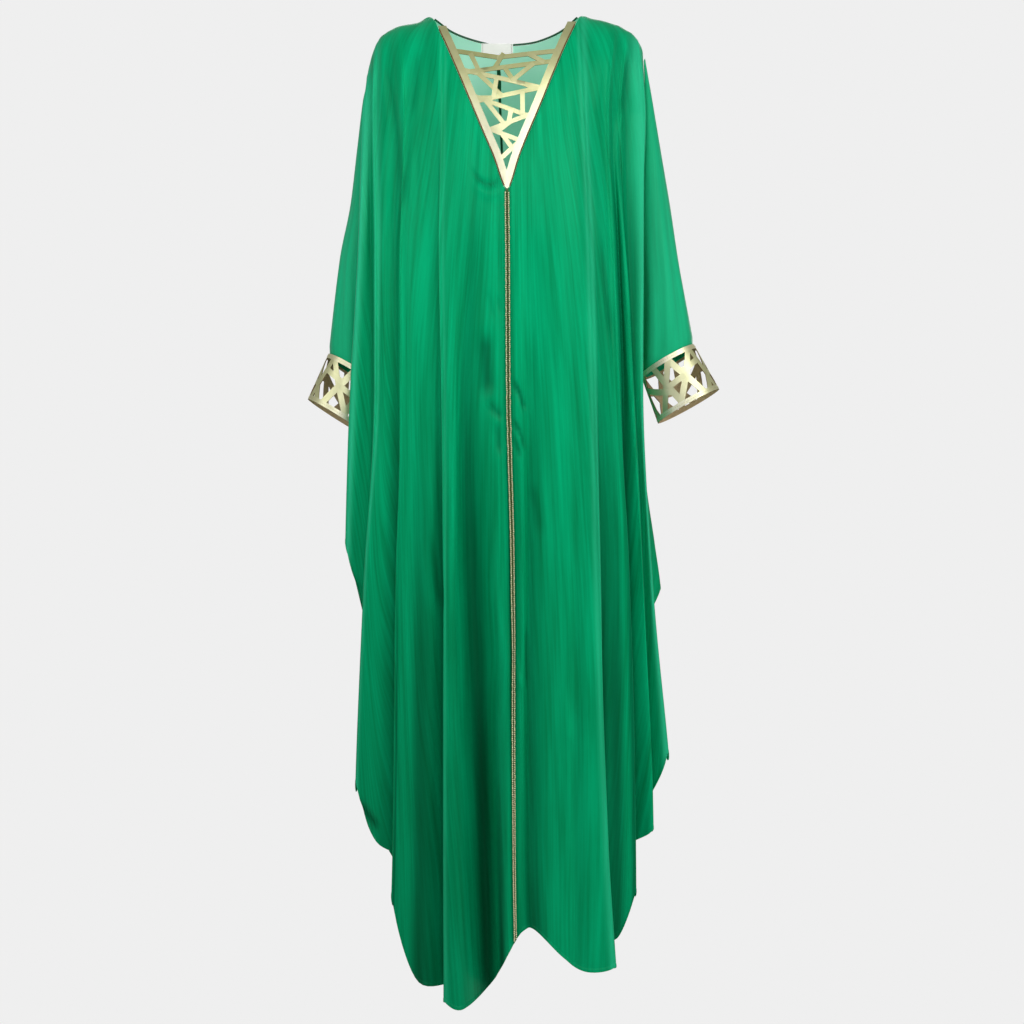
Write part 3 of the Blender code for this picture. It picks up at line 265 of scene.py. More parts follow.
backCreases = (
    ("leftEdge4", "centre", 6.0, -2.4, ((-70, 150), (-60, 260), (-64, 380))),
    ("leftEdge4", "centre", 7.0, 2.4, ((-44, 420), (-50, 520), (-46, 640))),
    ("centre", "rightEdge4", 6.0, -2.6, ((58, 140), (66, 250), (60, 360))),
    ("centre", "rightEdge4", 7.0, 2.6, ((30, 700), (44, 790), (40, 900))),
    ("leftUnder6", "leftUnder4", 6.0, -2.6, ((-172, 90), (-166, 200), (-172, 330))),
    ("rightUnder4", "rightUnder6", 6.0, -2.6, ((176, 90), (168, 210), (172, 340))),
    ("leftFace5", "leftEdge4", 8.0, 3.0, ((-140, 900), (-132, 1010), (-138, 1110))),
    ("rightUnder4", "rightEdge6", 8.0, 3.0, ((150, 960), (158, 1060), (152, 1160))),
    ("centre", "rightEdge4", 8.0, -1.5, ((70, 1180), (84, 1240), (90, 1320))),
    ("leftEdge4", "centre", 8.0, -1.5, ((-90, 1160), (-76, 1230), (-72, 1300))),
)


def smooth(knots, values, at):
    # monotone cubic through the knots, held constant beyond both ends
    knots = np.asarray(knots, float)
    values = np.asarray(values, float)
    at = np.clip(at, knots[0], knots[-1])
    width = np.diff(knots)
    slope = np.diff(values) / width
    tangent = np.zeros_like(values)
    before, after = slope[:-1], slope[1:]
    same = before * after > 0
    tangent[1:-1] = np.where(same, 2 * before * after / np.where(same, before + after, 1), 0)
    tangent[0], tangent[-1] = slope[0], slope[-1]
    cell = np.clip(np.searchsorted(knots, at, side="right") - 1, 0, len(width) - 1)
    part = (at - knots[cell]) / width[cell]
    rise = values[cell + 1] - values[cell]
    start = tangent[cell] * width[cell]
    end = tangent[cell + 1] * width[cell]
    bend = 3 * rise - 2 * start - end + part * (start + end - 2 * rise)
    return values[cell] + part * (start + part * bend)


def acrossFolds(lines, place):
    # Catmull-Rom curve through the fold lines, read at fractional places
    padded = np.concatenate([2 * lines[:1] - lines[1:2], lines, 2 * lines[-1:] - lines[-2:-1]])
    cell = np.clip(np.floor(place).astype(int), 0, len(lines) - 2)
    part = place - cell
    if lines.ndim == 1:
        p0, p1, p2, p3 = (padded[cell + k] for k in range(4))
    else:
        p0, p1, p2, p3 = (np.take_along_axis(padded, (cell + k)[None], axis=0)[0] for k in range(4))
    bend = part ** 2 * (2 * p0 - 5 * p1 + 4 * p2 - p3)
    twist = part ** 3 * (3 * p1 - p0 - 3 * p2 + p3)
    return 0.5 * (2 * p1 + part * (p2 - p0) + bend + twist)


def ramp(value, low, high):
    # smooth step from 0 at low to 1 at high
    t = np.clip((value - low) / (high - low), 0, 1)
    return t * t * (3 - 2 * t)


def unit(vectors):
    return vectors / np.maximum(np.linalg.norm(vectors, axis=-1, keepdims=True), 1e-9)


def toPoints(x, y, drop):
    return np.stack([x, y, -drop], axis=-1) * mm


def gridNormals(points, sign):
    # halfway between the turns of the grid's lines, sign +1 or -1
    down = unit(np.diff(points, axis=1))
    down = unit(np.concatenate([down[:, :1], down], axis=1) + np.concatenate([down, down[:, -1:]], axis=1))
    across = np.diff(points, axis=0)
    total = np.zeros_like(points)
    for step in (np.concatenate([across[:1], across]), np.concatenate([across, across[-1:]])):
        total += unit(step - np.sum(step * down, axis=-1, keepdims=True) * down)
    return sign * unit(np.cross(down, total))


def gridFaces(columns, rows, flip):
    # quads of a grid stored column by column
    a = (np.arange(columns - 1)[:, None] * rows + np.arange(rows - 1)[None, :]).ravel()
    quads = np.stack([a, a + 1, a + rows + 1, a + rows], axis=-1)
    return quads[:, ::-1] if flip else quads


def creaseHeight(x, drop, place, names, creases):
    # each crease is a soft bell across a curved line, fading to both ends
    total = np.zeros_like(x)
    for first, last, width, height, path in creases:
        steps = np.linspace(0, len(path) - 1, 14)
        line = np.stack([acrossFolds(np.array(path, float)[:, k], steps) for k in (0, 1)], axis=-1)
        low, high = line.min(axis=0) - 3 * width, line.max(axis=0) + 3 * width
        lowPlace, highPlace = names.index(first), len(names) - 1 - names[::-1].index(last)
        near = (x > low[0]) & (x < high[0]) & (drop > low[1]) & (drop < high[1])
        near &= (place >= lowPlace) & (place <= highPlace)
        if not near.any():
            continue
        here = np.stack([x[near], drop[near]], axis=-1)[:, None]
        start, step = line[None, :-1], np.diff(line, axis=0)[None]
        part = np.clip(np.sum((here - start) * step, axis=-1) / np.sum(step * step, axis=-1), 0, 1)
        gap = np.linalg.norm(here - start - step * part[..., None], axis=-1)
        pick = gap.argmin(axis=1)
        along = (pick + part[np.arange(len(pick)), pick]) / step.shape[1]
        fade = ramp(along, 0, 0.3) * ramp(along, 1, 0.7)
        edge = ramp(place[near], lowPlace, lowPlace + 0.7) * ramp(place[near], highPlace, highPlace - 0.7)
        total[near] += height * fade * edge * np.exp(-(gap.min(axis=1) / width) ** 2)
    return total


def fineRipples(arc, drop, phase):
    # sums of uneven sine waves across the cloth that wander slowly down it
    total = np.zeros_like(drop)
    for k, (length, height) in enumerate(((61, 0.55), (37, 0.28), (23, 0.16), (14, 0.08))):
        wander = 1.4 * np.sin(drop / (170 + 60 * k) + phase + 1.7 * k) + 0.7 * np.sin(drop / 71 + 2.3 * k)
        swell = 0.55 + 0.45 * np.sin(drop / (260 - 30 * k) + arc / 90 + 0.9 * k + phase)
        total += height * swell * np.sin(2 * np.pi * arc / length + wander + 2.1 * k)
    return total


def buildMesh(name, points, faces, faceMaterials, materials, uv, attributes, sharpOver):
    # foreach_set the points and put the per-point uv and attributes on
    mesh = bpy.data.meshes.new(name)
    mesh.from_pydata(points.tolist(), [], [list(map(int, face)) for face in faces])
    for item in materials:
        mesh.materials.append(item)
    mesh.polygons.foreach_set("material_index", faceMaterials)
    loops = np.empty(len(mesh.loops), dtype=np.int32)
    mesh.loops.foreach_get("vertex_index", loops)
    mesh.uv_layers.new(name="cloth").data.foreach_set("uv", uv[loops].astype(np.float32).ravel())
    for key, values in attributes.items():
        mesh.attributes.new(key, "FLOAT", "POINT").data.foreach_set("value", values.astype(np.float32))
    mesh.polygons.foreach_set("use_smooth", np.ones(len(mesh.polygons), dtype=bool))
    mesh.set_sharp_from_angle(angle=math.radians(sharpOver))
    mesh.update()
    piece = bpy.data.objects.new(name, mesh)
    bpy.context.scene.collection.objects.link(piece)
    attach(piece, "root")
    return piece


def addWall(name, points, normals, faces, wall, materials, uv, attributes, kinds=None, faceValues=None):
    # closed shell: the sheet moved half the wall to either side, joined by a rim
    flatPoints = points.reshape(-1, 3)
    half = normals.reshape(-1, 3) * np.reshape(wall, (-1, 1)) * mm / 2
    count = len(flatPoints)
    faces = [tuple(map(int, face)) for face in faces]
    sides = {(a, b) for face in faces for a, b in zip(face, face[1:] + face[:1])}
    rim = [(b, a, a + count, b + count) for a, b in sorted(sides) if (b, a) not in sides]
    solid = faces + [tuple(v + count for v in face[::-1]) for face in faces] + rim
    outside = [0] * len(faces) if kinds is None else list(kinds)
    kinds = np.minimum(outside + [1] * len(faces) + [2] * len(rim), len(materials) - 1)
    both = {key: np.tile(values.ravel(), 2) for key, values in attributes.items()}
    every = np.concatenate([flatPoints + half, flatPoints - half])
    piece = buildMesh(name, every, solid, kinds, materials, np.tile(uv.reshape(-1, 2), (2, 1)), both, 75)
    for key, values in (faceValues or {}).items():
        values = np.array(list(values) * 2 + [0.0] * len(rim), np.float32)
        piece.data.attributes.new(key, "FLOAT", "FACE").data.foreach_set("value", values)
    return piece


def hexColour(text):
    # sRGB hex to a linear colour
    parts = np.array([int(text[i:i + 2], 16) / 255 for i in (1, 3, 5)])
    linear = np.where(parts <= 0.04045, parts / 12.92, ((parts + 0.055) / 1.055) ** 2.4)
    return (*linear.tolist(), 1.0)


def addNode(tree, kind, props=None, inputs=None):
    # adds a node, sets its properties and its inputs, and links the inputs that are sockets
    node = tree.nodes.new(kind)
    for key, value in (props or {}).items():
        setattr(node, key, value)
    for key, value in (inputs or {}).items():
        if isinstance(value, bpy.types.NodeSocket):
            tree.links.new(value, node.inputs[key])
        else:
            node.inputs[key].default_value = value
    return node


def newMaterial(name):
    made = bpy.data.materials.new(name)
    made.use_nodes = True
    tree = made.node_tree
    tree.nodes.clear()
    shader = addNode(tree, "ShaderNodeBsdfPrincipled")
    addNode(tree, "ShaderNodeOutputMaterial", inputs={"Surface": shader.outputs["BSDF"]})
    return made, tree, shader


def mixColours(tree, share, first, second, blend="MIX"):
    node = addNode(tree, "ShaderNodeMix", {"data_type": "RGBA", "blend_type": blend})
    for key, value in ((0, share), (6, first), (7, second)):
        if isinstance(value, bpy.types.NodeSocket):
            tree.links.new(value, node.inputs[key])
        else:
            node.inputs[key].default_value = value
    return node.outputs[2]


# Silk satin: fine filament threads floated on the face, so it glows in long streaks along
# the warp; that glow is painted into the colour as lighter streaks, with larger painted patches
# of light and shade. Streak, patch and thread are the width and length in metres of each kind of mark.
silk = {"bright": "#00B478", "mid": "#008E58", "deep": "#002E18", "paintedBacklight": "#3ACC9C", "pale": "#D8FDEE",
        "through": 0.3, "tint": "#7CF0B4", "streak": (0.006, 0.22), "patch": (0.026, 0.28),
        "thread": (0.0016, 0.02), "threadDepth": 0.0004}


def maths(tree, operation, *values, clamp=False):
    # one maths node on sockets or numbers
    props = {"operation": operation, "use_clamp": clamp}
    return addNode(tree, "ShaderNodeMath", props, dict(enumerate(values))).outputs["Value"]


def flatNoise(tree, uv, size, detail, roughness=0.5):
    # noise on the flat cloth whose marks have this width and length
    scaled = addNode(tree, "ShaderNodeMapping", inputs={"Vector": uv, "Scale": (1 / size[0], 1 / size[1], 1)})
    inputs = {"Vector": scaled.outputs["Vector"], "Scale": 1.0, "Detail": detail, "Roughness": roughness}
    return addNode(tree, "ShaderNodeTexNoise", {"noise_dimensions": "2D"}, inputs).outputs["Fac"]


def attribute(tree, name):
    return addNode(tree, "ShaderNodeAttribute", {"attribute_name": name}).outputs["Fac"]


def addBump(tree, shader, height, strength, distance):
    inputs = {"Strength": strength, "Distance": distance, "Height": height}
    bump = addNode(tree, "ShaderNodeBump", inputs=inputs)
    tree.links.new(bump.outputs["Normal"], shader.inputs["Normal"])


def makeSilk(name, inside):
    made, tree, shader = newMaterial(name)
    uv = addNode(tree, "ShaderNodeUVMap", {"uv_map": "cloth"}).outputs["UV"]
    streak = flatNoise(tree, uv, silk["streak"], 4.0, 0.6)
    cloud = flatNoise(tree, uv, silk["patch"], 2.0)
    # painted sheen and painted shade: the streaks and patches mix the colour between mid and bright green
    both = maths(tree, "MULTIPLY_ADD", cloud, 0.5, maths(tree, "MULTIPLY_ADD", streak, 0.55, 0.0), clamp=True)
    wide = addNode(tree, "ShaderNodeMapRange", inputs={"Value": both, "From Min": 0.32, "From Max": 0.7})
    face = mixColours(tree, wide.outputs["Result"], hexColour(silk["mid"]), hexColour(silk["bright"]))
    # painted shade: the shade value darkens the colour toward deep green in hollows, creases and low on the
    # cloth
    deep = mixColours(tree, attribute(tree, "shade"), face, hexColour(silk["deep"]))
    # painted backlight: a lighter, bluer green where light would show through single cloth
    backlitColour = mixColours(tree, attribute(tree, "paintedBacklight"), deep, hexColour(silk["paintedBacklight"]))
    if inside:
        # painted glow: near the neck the inside is paled and made to emit light, standing in for light that
        # comes through the single cloth of the back
        glow = attribute(tree, "glow")
        backlitColour = mixColours(tree, glow, backlitColour, hexColour(silk["pale"]))
        shader.inputs["Emission Color"].default_value = hexColour(silk["paintedBacklight"])
        tree.links.new(maths(tree, "MULTIPLY", glow, silk["through"]), shader.inputs["Emission Strength"])
    tree.links.new(backlitColour, shader.inputs["Base Color"])
    tree.links.new(maths(tree, "MULTIPLY_ADD", streak, 0.16, 0.30), shader.inputs["Roughness"])
    addBump(tree, shader, flatNoise(tree, uv, silk["thread"], 2.0), 0.12, silk["threadDepth"])
    shader.inputs["Specular IOR Level"].default_value = 0.16
    shader.inputs["Specular Tint"].default_value = hexColour(silk["tint"])
    shader.inputs["Anisotropic"].default_value = 0.4
    return made


# Gold foil on thin leather: a bright metal skin that the grain breaks up a little, with a painted highlight
# that turns the colour pale gold
gold = {"light": "#F6F2DC", "mid": "#D8D8A2", "dark": "#A8AC68", "edge": "#7E5C2A", "suede": "#C9B48E",
        "mottle": 0.018, "grain": 0.0011, "grainDepth": 0.0002}


def makeGoldFoil(name, lift):
    made, tree, shader = newMaterial(name)
    uv = addNode(tree, "ShaderNodeUVMap", {"uv_map": "cloth"}).outputs["UV"]
    wide = addNode(tree, "ShaderNodeTexNoise", {"noise_dimensions": "2D"},
                   {"Vector": uv, "Scale": 1 / gold["mottle"], "Detail": 3.0})
    share = maths(tree, "MULTIPLY_ADD", wide.outputs["Fac"], 0.6, attribute(tree, "tint"), clamp=True)
    low = mixColours(tree, share, hexColour(gold["dark"]), hexColour(gold["mid"]))
    # painted highlight: the colour turns toward pale gold by a per-point amount times lift
    lit = maths(tree, "MULTIPLY", attribute(tree, "paintedHighlight"), lift)
    tree.links.new(mixColours(tree, lit, low, hexColour(gold["light"])), shader.inputs["Base Color"])
    grain = addNode(tree, "ShaderNodeTexVoronoi", {"feature": "DISTANCE_TO_EDGE"},
                    {"Vector": uv, "Scale": 1 / gold["grain"]})
    addBump(tree, shader, grain.outputs["Distance"], 0.25, gold["grainDepth"])
    shader.inputs["Metallic"].default_value = 0.75
    shader.inputs["Roughness"].default_value = 0.42
    return made


def makePlain(name, colour, darker, roughness, metallic, scale):
    # an even finish with fine mottling at the given size in metres
    made, tree, shader = newMaterial(name)
    place = addNode(tree, "ShaderNodeTexCoord").outputs["Object"]
    noise = addNode(tree, "ShaderNodeTexNoise", inputs={"Vector": place, "Scale": 1 / scale, "Detail": 3.0})
    mixed = mixColours(tree, noise.outputs["Fac"], hexColour(darker), hexColour(colour))
    tree.links.new(mixed, shader.inputs["Base Color"])
    addBump(tree, shader, noise.outputs["Fac"], 0.3, 0.0002)
    shader.inputs["Roughness"].default_value = roughness
    shader.inputs["Metallic"].default_value = metallic
    return made


silkFace = makeSilk("silkSatinFace", False)
silkBack = makeSilk("silkSatinInside", True)
silkLayers = (silkFace, silkBack, silkFace)
# painted highlight: the number after each name scales how far the colour turns pale gold
goldBand = makeGoldFoil("goldFoilBand", 0.9)
goldBars = makeGoldFoil("goldFoilBars", 0.45)
suede = makePlain("suedeLeatherInside", gold["suede"], "#A88E60", 0.75, 0.0, 0.004)
cutEdge = makePlain("cutLeatherEdge", gold["edge"], "#5A3F1C", 0.7, 0.0, 0.002)
beadGold = makePlain("antiqueGoldBeads", "#FFF8D8", "#EBE2A8", 0.22, 0.1, 0.006)
beadDark = makePlain("bronzeGlassBeads", "#4C4A14", "#1E2208", 0.2, 0.2, 0.006)
braidGround = makePlain("oliveBraidGround", "#3E6A22", "#2A4E14", 0.6, 0.1, 0.003)
goldThread = makePlain("paleGoldThread", "#E6DDA8", "#B5A868", 0.45, 0.3, 0.001)
greenThread = makePlain("greenSewingThread", "#0B6B42", "#04452A", 0.6, 0.0, 0.001)
bindingSilk = makePlain("darkGreenBinding", "#0B6B42", "#04452A", 0.5, 0.0, 0.003)
labelRibbon = makePlain("bareLabelRibbon", "#FAF9F6", "#F0EEEA", 0.55, 0.0, 0.002)
# painted glow: the label emits a little light, standing in for the light that the thin ribbon and the back
# behind it let through
labelShader = labelRibbon.node_tree.nodes["Principled BSDF"]
labelShader.inputs["Emission Color"].default_value = hexColour("#F4F1EC")
labelShader.inputs["Emission Strength"].default_value = 0.42
paper = makePlain("paleStudioPaper", "#EFEFEF", "#EDEDED", 0.9, 0.0, 1.5)
print("stage: materials made")


def rolled(folds, runs):
    # fold lines with their runs; a rolled edge becomes two lines as thick as it overlaps
    runOf = {name: (across, out) for name, across, out in runs}
    lines = []
    for i, (name, startX, start, crest, spread, hem, roll) in enumerate(folds):
        across, out = runOf.get(name, (None, None))
        if roll == 0:
            lines.append((name, startX, start, crest, spread, across, out, hem))
            continue
        turned = 1 if name.startswith("left") else -1
        under = runOf[folds[i - turned][0]][0]
        over = [min(1, max(0, (inner - edge) * turned / roll)) for inner, edge in zip(under, across)]
        for order, beside in ((-1, folds[i - 1]), (1, folds[i + 1])):
            own = (startX, start, crest, spread)
            top = [value + cloth["rollSpread"] * (other - value) for value, other in zip(own, beside[1:5])]
            lineX = tuple(x + order * cloth["rollFlat"] * (1 - r) for x, r in zip(across, over))
            lineOut = tuple(v + 0.5 * order * turned * roll * r * min(1, v / cloth["rollDepth"])
                            for v, r in zip(out, over))
            lines.append((name, *top, lineX, lineOut, hem))
    return tuple(lines)


def sleevePoint(sections, along, around):
    # ellipse between an inner and an outer point, open toward the body like a long mouth
    rows = np.asarray(sections, float)
    place = np.asarray(along) * (len(rows) - 1)
    innerX, innerD, outerX, outerD, half, mouth, shift = (
        smooth(np.arange(len(rows)), rows[:, c], place) for c in range(7))
    gap = np.arcsin(np.clip(mouth / half, 0, 1))
    angle = (2 * np.asarray(around) - 1) * (math.pi - gap)
    swing = 0.5 + 0.5 * np.cos(angle)
    y = shift + half * np.sin(angle)
    lean = smooth((len(rows) - 2, len(rows) - 1), (0, wristLean), place)
    return innerX + (outerX - innerX) * swing, y, innerD + (outerD - innerD) * swing + lean * y


def seamLine(sleeve, sideSeam, toward):
    # seam edge of a panel: along the sleeve's mouth, then the side seam below the wrist
    along = np.linspace(0, 1, 41)
    x, y, drop = sleevePoint(sleeve, along, np.full(len(along), 0 if toward < 0 else 1))
    x = x - np.sign(x) * cloth["edgeInset"]
    low = np.asarray(sideSeam, float)
    rest = np.full(len(low), cloth["edgeSpace"] / 2)
    return (np.concatenate([drop, low[:, 0]]), np.concatenate([x, low[:, 1]]),
            np.concatenate([y * toward + cloth["edgeSpace"], rest]))


def foldLine(fold, seams, drop):
    # across and out of one fold line at the drops, before the shoulder crest rounds it
    name, startX, start, _, _, across, out, _ = fold
    if name in seams:
        knots, x, away = seams[name]
        return smooth(knots, x, drop), smooth(knots, away, drop)
    below = [i for i, station in enumerate(stations) if station > start + 25]
    x = smooth([start] + [stations[i] for i in below], [startX] + [across[i] for i in below], drop)
    away = smooth(stations, out, drop)
    if name == "leftRidge6":
        roll = np.exp(-((drop - centreTuck["drop"]) / centreTuck["reach"]) ** 2)
        x, away = x + centreTuck["across"] * roll, away + centreTuck["out"] * roll
    return x, away


def columnValues(panel, key, place):
    return acrossFolds(np.array([float(fold[key]) for fold in panel["folds"]]), place)


def hemDrop(panel, place):
    # drop of the hem, raised in front in a soft bell round the corner of each folded edge
    drop, names = columnValues(panel, 7, place), panel["names"]
    if panel["toward"] > 0:
        return drop
    for i, name in enumerate(names[:-1]):
        if name == names[i + 1]:
            lift = cornerLift.get(name, cornerLift["other"])
            drop = drop - lift * np.exp(-((place - i - 0.5) / cornerLift["spread"]) ** 2)
    return drop


def panelPoint(panel, place, drop):
    # fold lines joined by a smooth curve at each drop; a quarter ellipse rounds the shoulder
    pairs = [foldLine(fold, panel["seams"], drop) for fold in panel["folds"]]
    x = acrossFolds(np.array([pair[0] for pair in pairs]), place)
    out = acrossFolds(np.array([pair[1] for pair in pairs]), place)
    turn = (drop - columnValues(panel, 3, place)) / np.maximum(columnValues(panel, 4, place), 1)
    turn = np.clip(turn, 0, 1)
    out = cloth["seamGap"] + (out - cloth["seamGap"]) * np.sqrt(1 - (1 - turn) ** 2)
    return x, panel["toward"] * out


def makePanel(folds, runs, toward, columns, power, creases, phase):
    lines = rolled(folds, runs)
    names = [line[0] for line in lines]
    seams = {"leftSeam": seamLine(leftSleeve, leftSideSeam, toward),
             "rightSeam": seamLine(rightSleeve, rightSideSeam, toward)}
    return {"folds": lines, "names": names, "seams": seams, "toward": toward, "columns": columns,
            "power": power, "creases": creases, "phase": phase, "centre": names.index("centre")}


front = makePanel(frontFolds, frontRuns, -1, cloth["frontColumns"], cloth["frontRowPower"], frontCreases, 0.4)
back = makePanel(backFolds, backRuns, 1, cloth["backColumns"], cloth["backRowPower"], backCreases, 2.6)

# painted backlight: these turned edges of single cloth are painted lighter where light would show through:
# fold, half width in mm, strength
backlitEdges = (("leftEdge1", 16, 0.55), ("leftEdge2", 7, 0.35), ("leftEdge4", 5, 0.2),
              ("rightEdge4", 6, 0.3), ("rightEdge2", 14, 0.5), ("leftEdge7", 14, 0.4),
              ("leftEdge6", 6, 0.2), ("rightEdge6", 6, 0.2), ("rightEdge7", 14, 0.4))

# shadow in hollows within "asides" of a point, in creases and low down the cloth, more on its left
shadow = {"asides": (-22, -11, 11, 22), "depth": 20, "hollow": 0.8, "crease": 0.085, "left": 0.8,
          "lowDrops": (150, 500, 800, 1200, 1500), "low": (0, 0.03, 0.13, 0.24, 0.28), "most": 0.95,
          "drops": (150, 450, 750, 1050, 1400)}

# little light reaches these hollows: fold, half width in mm, strength at the five shadow drops
deepHollows = (
    ("leftUnder2", 12, (0.2, 0.35, 0.45, 0.4, 0.3)), ("leftUnder3", 15, (0.0, 0.2, 0.45, 0.55, 0.4)),
    ("leftFace3", 22, (0.0, 0.05, 0.2, 0.35, 0.35)), ("leftUnder4", 16, (0.1, 0.25, 0.4, 0.55, 0.55)),
    ("leftEdge3", 7, (0.0, 0.0, 0.15, 0.4, 0.3)),
    ("leftValley5", 22, (0.0, 0.3, 0.5, 0.46, 0.46)), ("leftRidge6", 12, (0.0, 0.0, 0.0, 0.15, 0.5)),
    ("rightValley5", 22, (0.0, 0.05, 0.05, 0.2, 0.5)),
    ("rightUnder4", 22, (0.1, 0.2, 0.4, 0.6, 0.55)), ("rightFace3", 18, (0.0, 0.1, 0.3, 0.5, 0.4)),
    ("rightUnder3", 16, (0.2, 0.55, 0.8, 0.9, 0.8)),
    ("rightEdge3", 12, (0.0, 0.05, 0.3, 0.5, 0.4)), ("rightValley2", 9, (0.3, 0.55, 0.5, 0.4, 0.3)),
    ("rightUnder2", 12, (0.2, 0.3, 0.4, 0.4, 0.3)),
)


def foldBell(panel, arc, name, width):
    # soft bell of this half width round each line of a fold, measured along the cloth
    total = np.zeros_like(arc)
    for k, each in enumerate(panel["names"]):
        if each == name:
            total = np.maximum(total, np.exp(-((arc - arc[k * panel["columns"]]) / width) ** 2))
    return total


def panelGrid(panel):
    # points, normals and per-point values of a whole panel, column by column
    names = panel["names"]
    last = len(names) - 1
    place = np.linspace(0, last, last * panel["columns"] + 1)[:, None]
    top, hem = columnValues(panel, 2, place), hemDrop(panel, place)
    high = np.array(cloth["hemRows"])
    part = np.linspace(0, 1, cloth["rows"] - len(high) + 1)[None] ** panel["power"]
    drop = np.concatenate([top + (hem - high[0] - top) * part, hem - high[None, 1:]], axis=1)
    place = np.broadcast_to(place, drop.shape)
    x, y = panelPoint(panel, place, drop)
    plain = toPoints(x, y, drop)
    normals = gridNormals(plain, -panel["toward"])

    # flat width across the cloth, from the centre line
    step = np.linalg.norm(np.diff(plain, axis=0), axis=-1) / mm
    arc = np.concatenate([np.zeros((1, drop.shape[1])), np.cumsum(step, axis=0)])
    arc = arc - arc[panel["centre"] * panel["columns"]]
    evenArc = arc[:, 10:].mean(axis=1, keepdims=True) + 0 * arc

    creases = creaseHeight(x, drop, place, names, panel["creases"])
    lift = creases + fineRipples(evenArc, drop, panel["phase"])
    free = ramp(drop - top, 3, 40) * ramp(place, 0, 1.2) * ramp(place, last, last - 1.2)
    points = plain + normals * (lift * free)[..., None] * mm

    # hollows lie behind the mean of the cloth to either side
    out = -points[..., 1] * -panel["toward"] / mm
    wide = np.zeros_like(out)
    for j in range(out.shape[1]):
        shifted = [np.interp(arc[:, j] + aside, arc[:, j], out[:, j]) for aside in shadow["asides"]]
        wide[:, j] = np.mean(shifted, axis=0)
    hollow = np.clip((wide - out) / shadow["depth"], 0, 1) ** 0.8
    shade = shadow["hollow"] * hollow * ramp(drop, 120, 330)
    for name, width, strengths in deepHollows:
        strength = smooth(shadow["drops"], strengths, drop)
        shade = np.maximum(shade, strength * foldBell(panel, arc, name, width))
    # creases hold shadow, and the lower cloth turns away from the light, most of all on the left
    shade = shade + np.clip(-creases * shadow["crease"], -0.12, 0.45)
    low = smooth(shadow["lowDrops"], shadow["low"], drop)
    shade = np.clip(shade + low * (1 + shadow["left"] * ramp(x, 60, -60)), 0, shadow["most"])
    # painted backlight: the turned edges are painted lighter
    paintedBacklight = np.zeros_like(out)
    for name, width, strength in backlitEdges:
        paintedBacklight = np.maximum(paintedBacklight, strength * foldBell(panel, arc, name, width))
    hemGap = hem - drop
    # painted glow on the inside of the back near the neck
    glow = ramp(drop, 330, 230) * (panel["toward"] > 0)
    normals = gridNormals(points, -panel["toward"])
    uv = np.stack([arc * mm, drop * mm], axis=-1)
    return {"points": points, "normals": normals, "uv": uv, "arc": arc, "drop": drop,
            "values": {"shade": shade, "paintedBacklight": paintedBacklight, "glow": glow, "hemGap": hemGap}}


def hemWall(hemGap):
    # the cloth, and the turned hem that is about three cloths thick
    return cloth["wall"] + (cloth["hemWall"] - cloth["wall"]) * ramp(hemGap, 5.3, 5.0)


frontSheet = panelGrid(front)
backSheet = panelGrid(back)
print("stage: panels worked out")


def addHalves(panel, sheet, pieces, apart, flip):
    # the left and the right half of a panel, with the centre edge of each moved back by "apart"
    middle = panel["centre"] * panel["columns"]
    sides = ((slice(0, middle + 1), -1, -2), (slice(middle, None), 0, 1))
    for (name, node), (part, edge, beside) in zip(pieces, sides):
        half = sheet["points"][part].copy()
        half[edge] += unit(half[beside] - half[edge]) * apart
        values = {key: value[part] for key, value in sheet["values"].items()}
        piece = addWall(name, half, sheet["normals"][part], gridFaces(*half.shape[:2], flip),
                        hemWall(values["hemGap"]), silkLayers, sheet["uv"][part], values)
        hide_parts(node)


# the slit hangs closed: drops down it and how far its edges lie apart there, under the binding
slit = {"drops": (62, 90, 125, 240), "widths": (0, 3.2, 1.0, 0), "binding": 3.0, "bindingWall": 1.0,
        "spare": 0.75}


def slitHalfWidth(drop):
    # a drop shape, widest near its top
    return smooth(slit["drops"], slit["widths"], drop) / 2


sleeveCut = {"columns": 96, "rows": 130, "tuck": 5.0, "tuckIn": 1.5}


def addSleeve(name, node, sections):
    # tube with soft lengthwise gathers that grow toward the wrist; its end tucks into the cuff
    along = np.linspace(0, 1, sleeveCut["rows"] + 1)[None]
    around = np.linspace(0, 1, sleeveCut["columns"] + 1)[:, None]
    around, along = np.broadcast_arrays(around, along)
    x, y, drop = sleevePoint(sections, along, around)
    plain = toPoints(x, y, drop)
    onRight = sections[0][0] > 0
    normals = gridNormals(plain, 1 if onRight else -1)
    arc = around * 170
    grow = 0.35 + 0.65 * ramp(along, 0.3, 0.9)
    lift = grow * fineRipples(arc, along * 450, 1.3 if onRight else 4.1)
    lift = lift + 1.6 * ramp(along, 0.55, 0.85) * np.sin(around * 44 + 2.5 * along)
    free = ramp(around, 0, 0.06) * ramp(around, 1, 0.94) * ramp(along, 0, 0.1)
    end = ramp(along, 0.965, 1)
    lift = lift * free * (1 - end) - sleeveCut["tuckIn"] * end
    points = plain + normals * lift[..., None] * mm
    points[..., 2] -= sleeveCut["tuck"] * end * mm
    uv = np.stack([arc * mm, drop * mm], axis=-1)
    zero = np.zeros_like(arc)
    # painted shade darkens the sleeve toward its opening at the body, and painted backlight lightens all of
    # it
    values = {"shade": 0.25 * ramp(-np.abs(around - 0.5), -0.3, -0.5), "paintedBacklight": 0.3 + zero, "glow": zero,
              "hemGap": 50 + zero}
    piece = addWall(name, points, gridNormals(points, 1 if onRight else -1),
                    gridFaces(*arc.shape, not onRight), cloth["wall"] + zero,
                    silkLayers, uv, values)
    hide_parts(node)
    return piece


